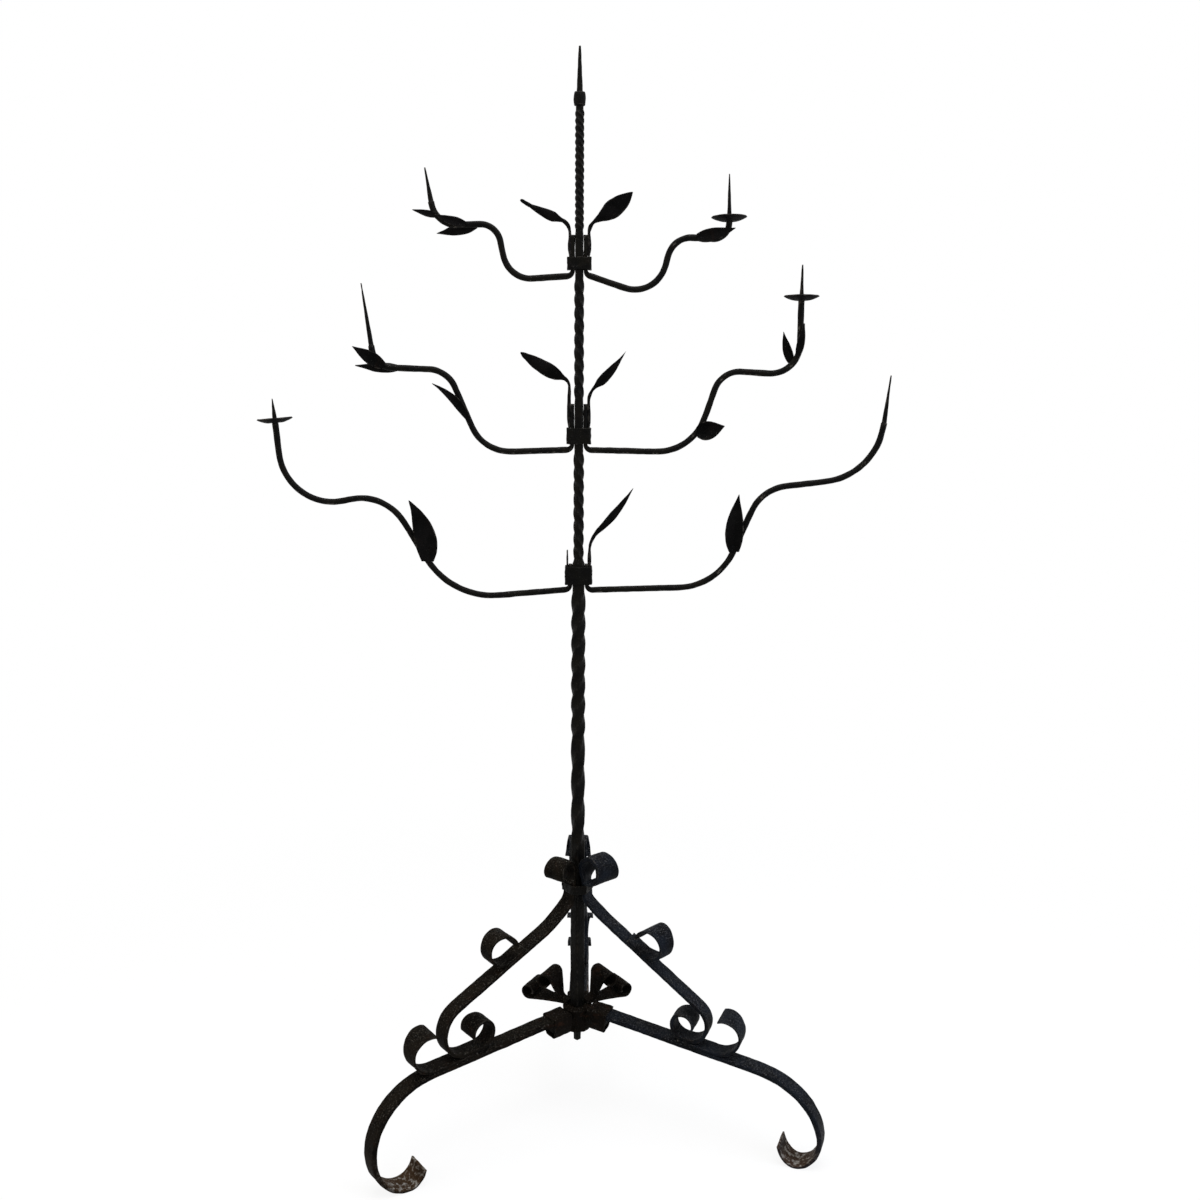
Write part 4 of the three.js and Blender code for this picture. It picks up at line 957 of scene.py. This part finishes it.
COLLAR_EDGE = 0.9 * MM
VOXEL = 0.75 * MM
BAND_SMOOTHING = 12
BLOCK_SMOOTHING = 3
COLLAR_BLOW = 0.8 * MM
BLOCK_BLOW = 0.45 * MM
BLOW_SIZE = 11 * MM
blocks = [n for n in frame["nodes"] if n.endswith(("_collar", "_band", "_scroll_stub")) or n == "hub"]
for node in blocks:
    paint = rusty_iron if slot_of[node] == "rusty_wrought_iron" else bar_paint
    smoothing = BAND_SMOOTHING if node.endswith("_band") else BLOCK_SMOOTHING
    mesh = softened(node, COLLAR_EDGE, VOXEL, smoothing)
    if node.endswith("_band"):
        wrapped(mesh)
    blow = COLLAR_BLOW if node.endswith("_collar") else BLOCK_BLOW
    forge(node + "_forged", mesh, [node], paint, depth=blow, size=BLOW_SIZE)
print("blocks:", len(blocks))

# %% [markdown]
# ## Drip pans and the ring at the top
# A drip pan is spun from thin sheet: a shallow dish with a rolled lip and a hole for the spike. A profile
# turned round the axis of its spike gives it; the joint in the frame says where that axis is.

# %% Drip pans and ferrule
TURNED_SIDES = 64
PAN_SEAT = 9.5 * MM      # radius of the flat that rests on the spike's shoulder
PAN_WALL = 1.6 * MM
DISH_PARTS = 24
DISH_CURVE = 1.6         # 1 is a cone, and more keeps the middle flatter
PAN_LIP = [(0.2, 0.5), (0.9, 0.0), (1.6, 0.4)]    # walls in from the rim, and walls below the top
INNER_SHORTER = 1.6      # the inner face rises this many walls less than the pan is high
PAN_DENT = {"depth": 0.25 * MM, "size": 12 * MM}
FERRULE_PARTS = 12
FERRULE_LIP = 0.8        # share of the outer radius at its ends
FERRULE_SWELL = 0.7      # less than 1 makes the swell fuller
FERRULE_DENT = {"depth": 0.25 * MM, "size": 9 * MM}


def turned_shape(name, profile, place, axis):
    """A closed profile of (radius, height) turned round an axis."""
    upright = Vector((0, 0, 1)).rotation_difference(Vector(axis)).to_matrix()
    points = []
    for side in range(TURNED_SIDES):
        angle = side * math.tau / TURNED_SIDES
        points += [upright @ Vector((r * math.cos(angle), r * math.sin(angle), h)) + Vector(place)
                   for r, h in profile]
    size = len(profile)
    faces = [(a * size + i, a * size + (i + 1) % size, b * size + (i + 1) % size, b * size + i)
             for a in range(TURNED_SIDES) for b in [(a + 1) % TURNED_SIDES] for i in range(size)]
    mesh = bpy.data.meshes.new(name)
    mesh.from_pydata(points, [], faces)
    return outward(mesh)


def measured(node, place, axis):
    """Largest and smallest radius and the height of a turned CAD piece."""
    along = Vector(axis).normalized()
    offsets = [v.co - Vector(place) for v in frame["nodes"][node].data.vertices]
    heights = [o.dot(along) for o in offsets]
    radii = [(o - o.dot(along) * along).length for o in offsets]
    return min(radii), max(radii), min(heights), max(heights)


for joint in frame["joints"]:
    node = joint["child"]
    bore, rim, low, high = measured(node, joint["pos_m"], joint["axis"])
    profile = []
    for k in range(DISH_PARTS + 1):
        u = k / DISH_PARTS
        radius = PAN_SEAT + (rim - PAN_SEAT) * u
        profile.append((radius, low + (high - low - PAN_WALL) * u ** DISH_CURVE))
    profile += [(rim - inward * PAN_WALL, high - down * PAN_WALL) for inward, down in PAN_LIP]
    for k in range(DISH_PARTS - 2, -1, -1):
        u = k / DISH_PARTS
        radius = PAN_SEAT + (rim - PAN_SEAT) * u
        rise = (high - low - INNER_SHORTER * PAN_WALL) * u ** DISH_CURVE
        profile.append((radius, low + PAN_WALL + rise))
    profile += [(bore, low + PAN_WALL), (bore, low)]
    mesh = turned_shape(node, profile, joint["pos_m"], joint["axis"])
    forge(node + "_spun", mesh, [node], sheet_paint, **PAN_DENT)

ferrule_place = (column_x, column_y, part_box("top_ferrule")[0].z)
bore, outer, low, high = measured("top_ferrule", ferrule_place, (0, 0, 1))
lip = FERRULE_LIP * outer
profile = [(bore, 0)]
for k in range(FERRULE_PARTS + 1):
    swell = math.sin(math.pi * (k + 1) / (FERRULE_PARTS + 2)) ** FERRULE_SWELL
    profile.append((lip + (outer - lip) * swell, high * k / FERRULE_PARTS))
profile.append((bore, high))
forge("top_ferrule_forged", turned_shape("top_ferrule", profile, ferrule_place, (0, 0, 1)),
      ["top_ferrule"], bar_paint, **FERRULE_DENT)
print("forged pieces:", len(forged) + 1)
